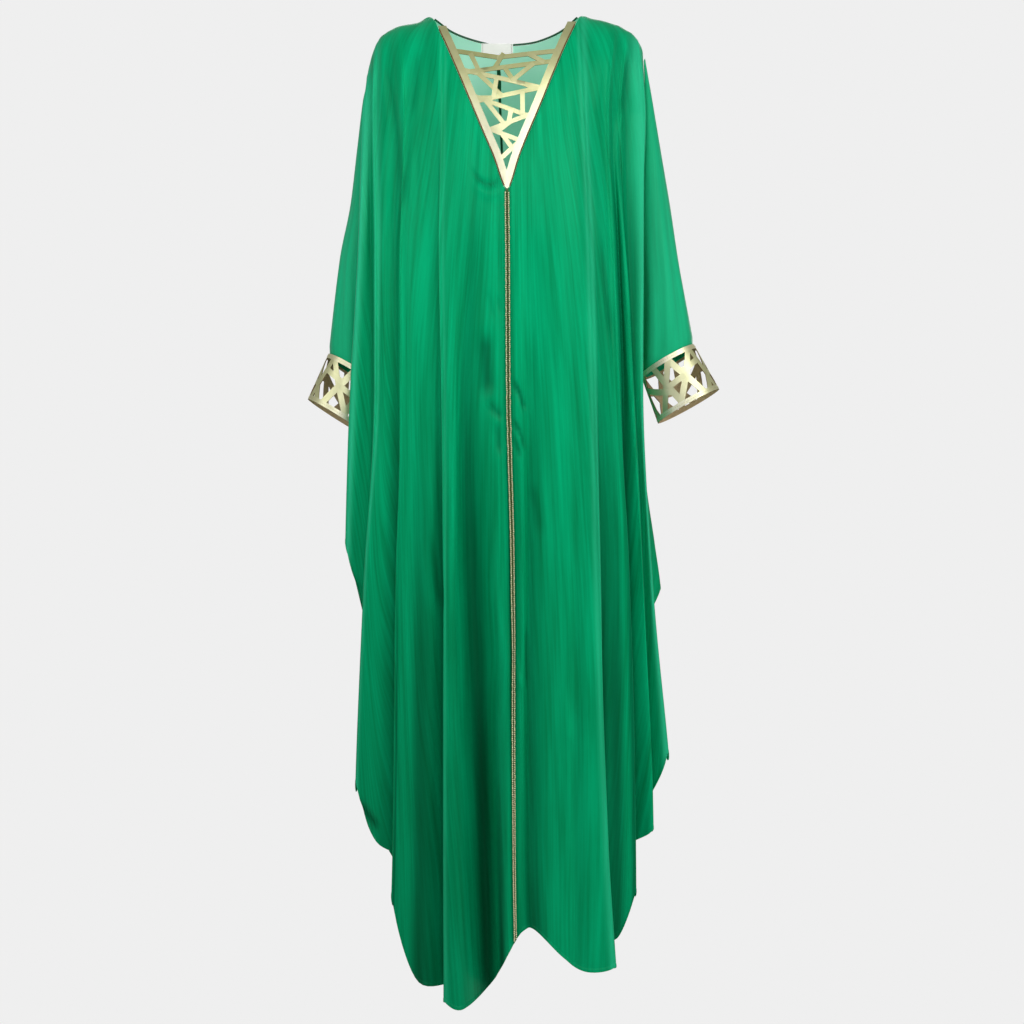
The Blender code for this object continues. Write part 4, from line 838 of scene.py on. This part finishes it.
seamHalf = cloth["centreGap"] / 2
addHalves(front, frontSheet, (("frontLeft", "front_left"), ("frontRight", "front_right")),
          seamHalf * mm, False)
slitHalf = slitHalfWidth(backSheet["drop"][back["centre"] * back["columns"]])[:, None]
addHalves(back, backSheet, (("backLeft", "back_left"), ("backRight", "back_right")),
          (seamHalf + slitHalf) * mm, True)
addSleeve("sleeveLeft", "sleeve_left", leftSleeve)
addSleeve("sleeveRight", "sleeve_right", rightSleeve)
print("stage: silk made")


def strip(start, end, width):
    # corners of a straight bar between two points of a flat sheet
    start, end = np.asarray(start, float), np.asarray(end, float)
    along = (end - start) / np.linalg.norm(end - start)
    side = np.array([-along[1], along[0]]) * width / 2
    return [tuple(start - side), tuple(end - side), tuple(end + side), tuple(start + side)]


def cutSheet(strips, lines, keep):
    # flat sheet made of overlapping strips, cut by lines: points, triangles, top strip of each
    points = []
    for a, b, c, d in strips:
        turn = (c[0] - a[0]) * (d[1] - b[1]) - (c[1] - a[1]) * (d[0] - b[0])
        points += [a, b, c, d] if turn > 0 else [d, c, b, a]
    faces = [list(range(4 * i, 4 * i + 4)) for i in range(len(strips))]
    edges = [(len(points) + 2 * i, len(points) + 2 * i + 1) for i in range(len(lines))]
    for line in lines:
        points += list(line)
    verts, _, tris, _, _, source = delaunay_2d_cdt(points, edges, faces, 0, 0.001)
    flat = np.array([(v[0], v[1]) for v in verts])
    kept = [(tuple(tri), max(covers)) for tri, covers in zip(tris, source)
            if covers and keep(flat[list(tri)].mean(axis=0))]
    used = sorted({v for tri, _ in kept for v in tri})
    number = {v: i for i, v in enumerate(used)}
    return flat[used], [tuple(number[v] for v in tri) for tri, _ in kept], [top for _, top in kept]


def uneven(index, step):
    # a repeatable uneven fraction between 0 and 1
    return (index * step) % 1.0


leather = {"wall": 1.3, "bevel": 0.28, "border": 7.0, "cuffBar": 8.6, "insertBar": 6.8, "band": 11.5}
cuffCut = {"turn": 268, "height": 74, "gap": 0.9, "bends": 60, "longBars": 9, "crossBars": 7,
           "stitches": 84, "stitchLines": (0.046, 0.954)}
leftCuffMouth = (-211, 636, -301, 580, 40, 0.10)
rightCuffMouth = (229, 616, 321, 565, 40, 0.12)


def bevelEdges(piece):
    # the cut edges of leather are slightly rounded by wear
    bevel = piece.modifiers.new("wornEdge", "BEVEL")
    bevel.width = leather["bevel"] * mm
    bevel.segments = 2
    bevel.limit_method = "ANGLE"
    bevel.angle_limit = math.radians(55)
    bevel.use_clamp_overlap = True


def cuffPoint(sleeve, mouth, around, part):
    # around in turns from the inner point past the front, part from the wrist down to the mouth
    wrist = sleeve[-1]
    angle = (2 * around - 1) * math.pi
    swing = 0.5 + 0.5 * np.cos(angle)
    gap = cuffCut["gap"]
    start = (wrist[0], wrist[1] + gap, wrist[2], wrist[3] + gap, wrist[4], wrist[6], wristLean)
    end = (mouth[0], mouth[1], mouth[2], mouth[3], mouth[4], wrist[6] - 2, mouth[5])
    inX, inD, outX, outD, half, shift, lean = (a + (b - a) * part for a, b in zip(start, end))
    y = shift + half * np.sin(angle)
    return inX + (outX - inX) * swing, y, inD + (outD - inD) * swing + lean * y


def cuffStrips():
    # borders and uneven straight bars of one flat cuff, one turn long
    turn, border = cuffCut["turn"], leather["border"]
    top, foot = border / 2, cuffCut["height"] - border / 2
    strips = []
    longBars = []
    for i in range(cuffCut["longBars"]):
        start = turn * (i + 0.5 * uneven(i, 0.618)) / cuffCut["longBars"]
        longBars.append(((start, top), (start + 14 + 20 * uneven(i, 0.37), foot)))
    bars = list(longBars)
    for i in range(cuffCut["crossBars"]):
        start = turn * (i + 0.4 + 0.4 * uneven(i, 0.754)) / cuffCut["crossBars"]
        bars.append(((start, top), (start - 26 - 20 * uneven(i, 0.43), foot)))
    for i in range(cuffCut["longBars"] - 1):
        first, second = np.array(longBars[i]), np.array(longBars[i + 1])
        share, other = 0.3 + 0.4 * uneven(i, 0.618), 0.25 + 0.5 * uneven(i + 3, 0.618)
        bars.append((tuple(first[0] + (first[1] - first[0]) * share),
                     tuple(second[0] + (second[1] - second[0]) * other)))
    for start, end in bars:
        for wrap in (-turn, 0, turn):
            a, b = (start[0] + wrap, start[1]), (end[0] + wrap, end[1])
            if max(a[0], b[0]) > -4 and min(a[0], b[0]) < turn + 4:
                strips.append(strip(a, b, leather["cuffBar"]))
    for level in (top, foot):
        strips.append(strip((-9, level), (turn + 9, level), border))
    return strips


def ringRound(middle, first, second, turns, radius):
    # points round each middle, in the plane of two unit vectors
    first, second = first[:, None], second[:, None]
    cosines, sines = np.cos(turns)[:, None], np.sin(turns)[:, None]
    return middle[:, None] + (first * cosines + second * sines) * radius * mm


def addCuff(name, nodes, sleeve, mouth):
    # the flat cutwork bent round the wrist and closed into a ring
    turn = cuffCut["turn"]
    strips = cuffStrips()
    lines = [((s, -5), (s, cuffCut["height"] + 5)) for s in np.linspace(0, turn, cuffCut["bends"] + 1)]
    flat, faces, tops = cutSheet(strips, lines, lambda middle: 0 < middle[0] < turn)
    number = np.arange(len(flat))
    start, close = np.flatnonzero(flat[:, 0] < 0.01), np.flatnonzero(flat[:, 0] > turn - 0.01)
    for v in close:
        number[v] = start[np.argmin(np.abs(flat[start, 1] - flat[v, 1]))]
    faces = [tuple(int(number[v]) for v in face) for face in faces]

    def place(s, part):
        return toPoints(*cuffPoint(sleeve, mouth, s / turn, part / cuffCut["height"]))

    points = place(flat[:, 0], flat[:, 1])
    forward = place(flat[:, 0] + 1, flat[:, 1]) - place(flat[:, 0] - 1, flat[:, 1])
    down = place(flat[:, 0], flat[:, 1] + 1) - place(flat[:, 0], flat[:, 1] - 1)
    onRight = sleeve[0][0] > 0
    normals = unit(np.cross(forward, down)) * (-1 if onRight else 1)
    keep = [i for i, face in enumerate(faces) if len(set(face)) == 3]
    faces = [faces[i][::-1] if onRight else faces[i] for i in keep]
    tint = [0.55 * uneven(tops[i], 0.618) for i in keep]
    used = sorted({v for face in faces for v in face})
    renumber = {v: i for i, v in enumerate(used)}
    faces = [tuple(renumber[v] for v in face) for face in faces]
    kinds = [0 if tops[i] < len(strips) - 2 else 3 for i in keep]
    # painted highlight: brighter and dimmer in waves round the cuff
    piece = addWall(name, points[used], normals[used], faces, leather["wall"] + np.zeros(len(used)),
                    (goldBars, suede, cutEdge, goldBand), flat[used] * mm,
                    {"paintedHighlight": 0.72 + 0.35 * np.sin(flat[used, 0] / 23)}, kinds, {"tint": tint})
    bevelEdges(piece)
    for node in nodes:
        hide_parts(node)
    path = np.linspace(0, 1, cuffCut["stitches"], endpoint=False)
    rows = []
    for part in cuffCut["stitchLines"]:
        s, level = path * turn, part * cuffCut["height"]
        out = unit(np.cross(place(s + 2, level) - place(s, level), place(s, level + 1) - place(s, level - 1)))
        rows.append((place(s + 0.3, level), place(s + 2.0, level), out * (-1 if onRight else 1)))
    addStitches(name + "Stitches", [np.concatenate([row[k] for row in rows]) for k in range(3)],
                leather["wall"] / 2, goldThread)
    return piece


def addStitches(name, ends, away, thread):
    # each stitch is a small six-sided spindle between two points, lying on the surface
    start, end, out = ends
    along = unit(end - start)
    side = unit(np.cross(along, out))
    sixths = np.arange(6) * math.pi / 3
    rings = []
    for share, radius in ((0.0, 0.12), (0.25, 0.32), (0.75, 0.32), (1.0, 0.12)):
        middle = start + (end - start) * share + out * (away + radius * 0.5) * mm
        rings.append(ringRound(middle, side, out, sixths, radius))
    points = np.stack(rings, axis=1).reshape(len(start), -1, 3)
    faces = []
    for i in range(3):
        for k in range(6):
            a, b = i * 6 + k, i * 6 + (k + 1) % 6
            faces.append((a, b, b + 6, a + 6))
    one = [tuple(range(5, -1, -1)), tuple(range(18, 24))] + faces
    every = [tuple(v + 24 * n for v in face) for n in range(len(start)) for face in one]
    piece = buildMesh(name, points.reshape(-1, 3), every, np.zeros(len(every), dtype=int), (thread,),
                      np.zeros((points.shape[0] * 24, 2)), {}, 80)
    return piece


addCuff("cuffLeft", ("cuff_left_front", "cuff_left_back"), leftSleeve, leftCuffMouth)
addCuff("cuffRight", ("cuff_right_front", "cuff_right_back"), rightSleeve, rightCuffMouth)
print("stage: cuffs made")

insertCut = {"top": 55, "sag": 11, "rungs": 7, "pitch": 21, "crown": 9, "starts": (16, 9), "gap": 1.2}


def neckEdge():
    # V edge of the front from neck point to neck point
    first, last = front["names"].index("leftUnder4"), front["names"].index("rightEdge4")
    place = np.linspace(first, last, (last - first) * 4 + 1)
    drop = columnValues(front, 2, place)
    x, y = panelPoint(front, place, drop)
    return x, y, drop


def insertOut(edge, x, drop):
    # depth of the V edge at this level and a soft forward crown between the two edges
    edgeX, edgeY, edgeDrop = edge
    low = int(np.argmax(edgeDrop))
    order = np.argsort(edgeDrop[:low + 1])
    level = edgeDrop[:low + 1][order]
    out = np.interp(drop, level, -edgeY[:low + 1][order])
    reach = np.maximum(np.interp(drop, level, -edgeX[:low + 1][order]), 8)
    crown = insertCut["crown"] * np.clip(1 - (x / reach) ** 2, 0, 1) * np.clip(reach / 60, 0, 1)
    return out + crown * np.clip(drop / insertCut["top"], 0, 1)


def addNeckInsert():
    # V bands and the cutwork between them, cut in one piece of leather
    edge = neckEdge()
    edgeX, _, edgeDrop = edge
    low = int(np.argmax(edgeDrop))
    band = leather["band"]
    bands, outer = [], {}
    for side, half in ((-1, slice(0, low + 1)), (1, slice(len(edgeX) - 1, low - 1, -1))):
        line = np.stack([edgeX[half], edgeDrop[half]], axis=-1)
        step = unit(np.diff(line, axis=0))
        along = unit(np.concatenate([step[:1], step]) + np.concatenate([step, step[-1:]]))
        inward = np.stack([along[:, 1], -along[:, 0]], axis=-1) * -side
        outer[side] = line + inward * insertCut["gap"]
        inner = outer[side] + inward * band
        outer[side][0] -= step[0] * 4
        inner[0] -= step[0] * 4
        outer[side][-1] += step[-1] * 6
        for a in range(len(line) - 1):
            bands.append([tuple(v) for v in (outer[side][a], outer[side][a + 1], inner[a + 1], inner[a])])

    def edgeAt(side, drop):
        return np.interp(drop, outer[side][:, 1], outer[side][:, 0])

    def bandAt(side, drop):
        return np.array([edgeAt(side, drop) - side * band * 0.6, drop])

    def inside(middle):
        x, drop = middle
        return drop > insertCut["starts"][int(x > 0)] and edgeAt(-1, drop) < x < edgeAt(1, drop)

    bar, top, sag = leather["insertBar"], insertCut["top"], insertCut["sag"]
    centreTop = np.array([-12.0, top + sag])
    strips = [strip(bandAt(-1, top), centreTop, bar), strip(centreTop - (3, 0), bandAt(1, top), bar)]
    rungs = [(bandAt(-1, top + sag * 0.4), bandAt(1, top + sag * 0.4))]
    for i in range(insertCut["rungs"]):
        middle = top + 24 + insertCut["pitch"] * i
        tilt = (10 + 9 * uneven(i, 0.618)) * (1 if i % 2 else -1)
        rungs.append((bandAt(-1, middle - tilt), bandAt(1, middle + tilt * 0.8)))
        strips.append(strip(*rungs[-1], bar))
    for i in range(len(rungs) - 1):
        count = 3 if i < 3 else 2 if i < 5 else 1
        for k in range(count):
            share = (k + 0.55 + 0.35 * uneven(i + 2 * k, 0.754)) / (count + 0.6)
            lean = 0.2 * (uneven(i + k, 0.43) - 0.5) + 0.12 * (-1) ** (i + k)
            upper = rungs[i][0] * (1 - share) + rungs[i][1] * share
            share = min(max(share + lean, 0.1), 0.9)
            strips.append(strip(upper, rungs[i + 1][0] * (1 - share) + rungs[i + 1][1] * share, bar))
    barCount = len(strips)
    strips += bands
    lines = [((-140, d), (140, d)) for d in np.arange(min(insertCut["starts"]), edgeDrop.max() + 8, 7.0)]
    lines += [((x, 0), (x, 270)) for x in np.arange(-98, 99, 14.0)]
    for line in outer.values():
        lines += [(tuple(a), tuple(b)) for a, b in zip(line[:-1], line[1:])]
    flat, faces, tops = cutSheet(strips, lines, inside)

    def place(x, drop):
        return toPoints(x, -insertOut(edge, x, drop), drop)

    points = place(flat[:, 0], flat[:, 1])
    right = place(flat[:, 0] + 1, flat[:, 1]) - place(flat[:, 0] - 1, flat[:, 1])
    down = place(flat[:, 0], flat[:, 1] + 1) - place(flat[:, 0], flat[:, 1] - 1)
    normals = unit(np.cross(down, right))
    faces = [face[::-1] for face in faces]
    kinds = [3 if topStrip >= barCount else 0 for topStrip in tops]
    tint = [0.3 if topStrip >= barCount else 0.55 * uneven(topStrip, 0.618) for topStrip in tops]
    # painted highlight: dull olive high up, turning pale gold lower down the insert
    piece = addWall("neckInsert", points, normals, faces, leather["wall"] + np.zeros(len(points)),
                    (goldBars, suede, cutEdge, goldBand), flat * mm,
                    {"paintedHighlight": 0.1 + 0.6 * ramp(flat[:, 1], 80, 190)}, kinds, {"tint": tint})
    bevelEdges(piece)
    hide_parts("neck_insert")
    for side, name in ((-1, "neckPipingLeft"), (1, "neckPipingRight")):
        line = outer[side]
        line = line[(line[:, 1] > insertCut["starts"][int(side > 0)]) & (line[:, 1] < edgeDrop.max() - 1)]
        steps = np.linspace(0, len(line) - 1, 140)
        line = np.stack([acrossFolds(line[:, k], steps) for k in (0, 1)], axis=-1)
        path = place(line[:, 0], line[:, 1])
        path[:, 1] -= 0.9 * mm
        addCord(name, path, 1.0, cutEdge)
    return piece


def addCord(name, path, radius, finish, sides=10):
    # a round cord carried along the path, closed at both ends
    along = unit(np.gradient(path, axis=0))
    side = unit(np.cross(along, (0.0, 1.0, 0.0)))
    up = np.cross(side, along)
    turns = np.arange(sides) * 2 * math.pi / sides
    rings = ringRound(path, side, up, turns, radius)
    count = len(path)
    a = (np.arange(count - 1)[:, None] * sides + np.arange(sides)[None]).ravel()
    b = (np.arange(count - 1)[:, None] * sides + (np.arange(sides)[None] + 1) % sides).ravel()
    faces = [tuple(face) for face in np.stack([a, a + sides, b + sides, b], axis=-1).tolist()]
    faces += [tuple(range(sides)), tuple(range(count * sides - 1, (count - 1) * sides - 1, -1))]
    length = np.concatenate([[0], np.cumsum(np.linalg.norm(np.diff(path, axis=0), axis=-1))])
    uv = np.stack([np.tile(turns * radius * mm, count), np.repeat(length, sides)], axis=-1)
    piece = buildMesh(name, rings.reshape(-1, 3), faces, np.zeros(len(faces), dtype=int), (finish,), uv,
                      {}, 60)
    return piece


addNeckInsert()
print("stage: neck insert made")

braid = {"width": 7.5, "wall": 1.2, "lift": 0.9, "sideBead": 1.15, "sidePitch": 2.8, "middleBead": 1.25,
         "middlePitch": 4.4, "sideAt": 2.5, "seam": 1.2}


def addBraid():
    # a flat braid over the centre seam, from the front's own points, with three rows of beads
    middle = front["centre"] * front["columns"]
    points = frontSheet["points"]
    centre = points[middle]
    reach = 3
    left = centre + unit(points[middle - reach] - centre) * braid["width"] / 2 * mm
    right = centre + unit(points[middle + reach] - centre) * braid["width"] / 2 * mm
    sheet = np.stack([left, (left + centre) / 2, centre, (centre + right) / 2, right])
    facing = gridNormals(np.stack([left, centre, right]), 1)[1]
    flatness = np.sum(((left + right) / 2 - centre) * facing, axis=-1, keepdims=True)
    away = (cloth["wall"] + braid["seam"] + braid["wall"]) / 2 + braid["lift"]
    crown = np.array((0.0, 0.35, 0.5, 0.35, 0.0))[:, None, None]
    sheet = sheet + facing * (away * mm + np.maximum(flatness, 0) * crown * 2) + facing * crown * 0.5 * mm
    normals = np.repeat(facing[None], 5, axis=0)
    drop = frontSheet["drop"][middle]
    uv = np.stack([np.repeat(np.linspace(-1, 1, 5)[:, None] * braid["width"] / 2, len(drop), axis=1),
                   np.repeat(drop[None], 5, axis=0)], axis=-1) * mm
    piece = addWall("frontBraid", sheet, normals, gridFaces(5, len(drop), False),
                    braid["wall"] + 0 * sheet[..., 0], (braidGround,), uv, {})
    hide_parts("front_braid")

    length = np.concatenate([[0], np.cumsum(np.linalg.norm(np.diff(sheet[2], axis=0), axis=-1))]) / mm
    across = unit(right - left)

    def along(curve, at):
        return np.stack([np.interp(at, length, curve[:, k]) for k in range(3)], axis=-1)

    for name, shift, pitch, size, finish in (
            ("braidBeadsLeft", -braid["sideAt"], braid["sidePitch"], braid["sideBead"], beadGold),
            ("braidBeadsMiddle", 0, braid["middlePitch"], braid["middleBead"], beadDark),
            ("braidBeadsRight", braid["sideAt"], braid["sidePitch"], braid["sideBead"], beadGold)):
        at = np.arange(1.5 * pitch + (0.4 if shift > 0 else 0), length[-1] - 2, pitch)
        wobble = 0.18 * np.sin(at * 2.7 + shift)
        place = along(sheet[2], at) + along(across, at) * (shift + wobble)[:, None] * mm
        lift = braid["wall"] / 2 + size * 0.55 - (0.25 if shift else 0)
        place += along(facing, at) * lift * mm
        addBeads(name, place, along(facing, at), size * (1 + 0.08 * np.sin(at * 5.1)), finish)


def addBeads(name, place, out, size, finish):
    # small spheres of 6 by 4 facets, flattened a little toward the braid
    heights = np.array((-0.7071, 0.0, 0.7071))
    turns = np.arange(6) * math.pi / 3
    body = np.array([(math.cos(t) * math.sqrt(1 - h * h), h, math.sin(t) * math.sqrt(1 - h * h))
                     for h in heights for t in turns])
    body = np.concatenate([body, [(0, -1, 0), (0, 1, 0)]]) * (1, 0.85, 1)
    faces = [(6 * r + k, 6 * r + (k + 1) % 6, 6 * r + 6 + (k + 1) % 6, 6 * r + 6 + k)
             for r in range(2) for k in range(6)]
    faces += [(18, (k + 1) % 6, k) for k in range(6)] + [(19, 12 + k, 12 + (k + 1) % 6) for k in range(6)]
    faces = [face[::-1] for face in faces]
    side = unit(np.cross(out, (0.0, 0.0, 1.0)))
    up = np.cross(side, out)
    frameAxes = np.stack([side, -out, up], axis=1)
    points = place[:, None] + np.einsum("vk,nkj->nvj", body, frameAxes) * (size * mm)[:, None, None]
    every = [tuple(v + 20 * n for v in face) for n in range(len(place)) for face in faces]
    piece = buildMesh(name, points.reshape(-1, 3), every, np.zeros(len(every), dtype=int), (finish,),
                      np.zeros((len(place) * 20, 2)), {}, 80)


addBraid()
print("stage: braid made")

binding = {"radius": 1.5, "lift": 0.4}


def addNeckBinding():
    # rolled binding that sits on the back neckline
    first, last = back["names"].index("leftEdge4") + 1, back["names"].index("rightEdge4")
    place = np.linspace(first, last, (last - first) * 10 + 1)
    drop = columnValues(back, 2, place)
    x, y = panelPoint(back, place, drop)
    path = toPoints(x, y, drop - binding["radius"] - binding["lift"])
    piece = addCord("backNeckBinding", path, binding["radius"], bindingSilk)
    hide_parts("back_neck_binding")


def addSlitBinding():
    # the two bound edges of the slit, side by side as one strip on the inner face of the back
    middle = back["centre"] * back["columns"]
    width = slitHalfWidth(backSheet["drop"][middle])
    opened = np.flatnonzero(width > 0)
    rows = np.arange(opened[0] - 1, opened[-1] + 2)
    points, inward = backSheet["points"], -backSheet["normals"][middle, rows]
    centre = points[middle, rows]
    reach = (slit["binding"] / 2 + width[rows])[:, None] * mm
    left, right = (centre + unit(points[middle + 2 * sign, rows] - centre) * reach for sign in (-1, 1))
    sheet = np.stack([left, (left + centre) / 2, centre, (centre + right) / 2, right])
    roll = np.array((0.0, 0.4, 0.0, 0.4, 0.0))[:, None, None]
    sheet += inward * ((cloth["wall"] + slit["bindingWall"]) / 2 + slit["spare"] + roll) * mm
    piece = addWall("slitBinding", sheet, np.stack([inward] * 5), gridFaces(5, len(rows), False),
                    slit["bindingWall"] + 0 * sheet[..., 0], (bindingSilk,), sheet[..., [0, 2]], {})
    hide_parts("slit_binding")


label = {"size": (48, 16.5), "place": (-15, 45.75), "wall": 0.8, "spare": 1.1, "columns": 25, "rows": 9}


def addLabel():
    # bare ribbon on the inner face of the back, held by a few stitches at each end
    across = np.linspace(-0.5, 0.5, label["columns"]) * label["size"][0] + label["place"][0]
    down = np.linspace(-0.5, 0.5, label["rows"]) * label["size"][1] + label["place"][1]
    places = np.linspace(back["centre"] - 2, back["centre"] + 2, 161)
    columns = []
    for x in across:
        line = [float(np.interp(x, *panelPoint(back, places, np.full_like(places, drop)))) for drop in down]
        columns.append(toPoints(np.full_like(down, x), np.array(line) - label["spare"] - label["wall"], down))
    sheet = np.array(columns)
    normals = gridNormals(sheet, 1)
    wave = 0.35 * np.sin(across / 7.0)[:, None, None] * np.cos(down / 5.0)[None, :, None]
    sheet = sheet + normals * wave * mm
    uv = np.stack(np.broadcast_arrays(across[:, None], down[None]), axis=-1) * mm
    piece = addWall("neckLabel", sheet, normals, gridFaces(len(across), len(down), False),
                    label["wall"] + 0 * sheet[..., 0], (labelRibbon,), uv, {})
    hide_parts("neck_label")
    ends = []
    for column in (1, -2):
        a, b = sheet[column, :-1], sheet[column, 1:]
        ends.append((a + (b - a) * 0.1, a + (b - a) * 0.85, normals[column, :-1]))
    addStitches("labelStitches", [np.concatenate([end[k] for end in ends]) for k in range(3)],
                label["wall"] / 2, greenThread)


addNeckBinding()
addSlitBinding()
addLabel()
print("stage: bindings and label made")


def addStudioPiece(name, points, faces, material):
    mesh = bpy.data.meshes.new(name)
    mesh.from_pydata(points.reshape(-1, 3).tolist(), [], faces)
    mesh.materials.append(material)
    piece = bpy.data.objects.new(name, mesh)
    bpy.context.scene.collection.objects.link(piece)
    return piece


def addDome():
    # the pale backdrop all round; it only shows, so the lights alone shape the cloth
    turns = np.arange(64) * 2 * math.pi / 64
    tilts = np.linspace(-math.pi / 2, math.pi / 2, 33)
    points = np.stack([np.cos(tilts)[:, None] * np.cos(turns), np.cos(tilts)[:, None] * np.sin(turns),
                       np.sin(tilts)[:, None] + 0 * turns], axis=-1) * stage["dome"]
    quads = gridFaces(33, 65, True)
    row, column = quads // 65, quads % 65 % 64
    made, _, shader = newMaterial("backdropPaper")
    shader.inputs["Base Color"].default_value = hexColour("#000000")
    shader.inputs["Specular IOR Level"].default_value = 0.0
    shader.inputs["Emission Color"].default_value = hexColour(stage["paper"])
    shader.inputs["Emission Strength"].default_value = 1.0
    dome = addStudioPiece("paleBackdrop", points, (row * 64 + column).tolist(), made)
    for kind in ("diffuse", "glossy", "transmission", "shadow"):
        setattr(dome, "visible_" + kind, False)


def addFloor():
    # a plain disc of pale paper under the garment
    turns = np.arange(96) * 2 * math.pi / 96
    points = np.stack([np.cos(turns), np.sin(turns), 0 * turns], axis=-1) * stage["radius"]
    points[:, 2] = stage["floor"]
    addStudioPiece("studioFloor", points, [tuple(range(96))], paper)


def addLights():
    # large soft boxes turned toward the garment
    for name, place, size, watts, aim in softBoxes:
        light = bpy.data.lights.new(name, "AREA")
        light.shape = "SQUARE"
        light.size = size
        light.energy = watts
        box = bpy.data.objects.new(name, light)
        bpy.context.scene.collection.objects.link(box)
        box.location = place
        toward = Vector((0, 0, aim)) - Vector(place)
        box.rotation_euler = toward.to_track_quat("-Z", "Y").to_euler()


def addCamera():
    made = bpy.data.cameras.new("photoView")
    made.sensor_width = camera["sensor"]
    made.lens = camera["sensor"] * camera["distance"] / camera["shown"]
    made.clip_end = 200
    view = bpy.data.objects.new("photoView", made)
    bpy.context.scene.collection.objects.link(view)
    view.location = (camera["aside"], -camera["distance"], camera["height"])
    view.rotation_euler = (math.radians(90), 0, 0)
    bpy.context.scene.camera = view


def addWorld():
    world = bpy.data.worlds.new("paleStudio")
    world.use_nodes = True
    sky = world.node_tree.nodes["Background"]
    sky.inputs["Color"].default_value = hexColour(stage["paper"])
    sky.inputs["Strength"].default_value = stage["strength"]
    bpy.context.scene.world = world
    bpy.context.scene.view_settings.view_transform = "Standard"


addDome()
addFloor()
addLights()
addCamera()
addWorld()
print("stage: studio made")
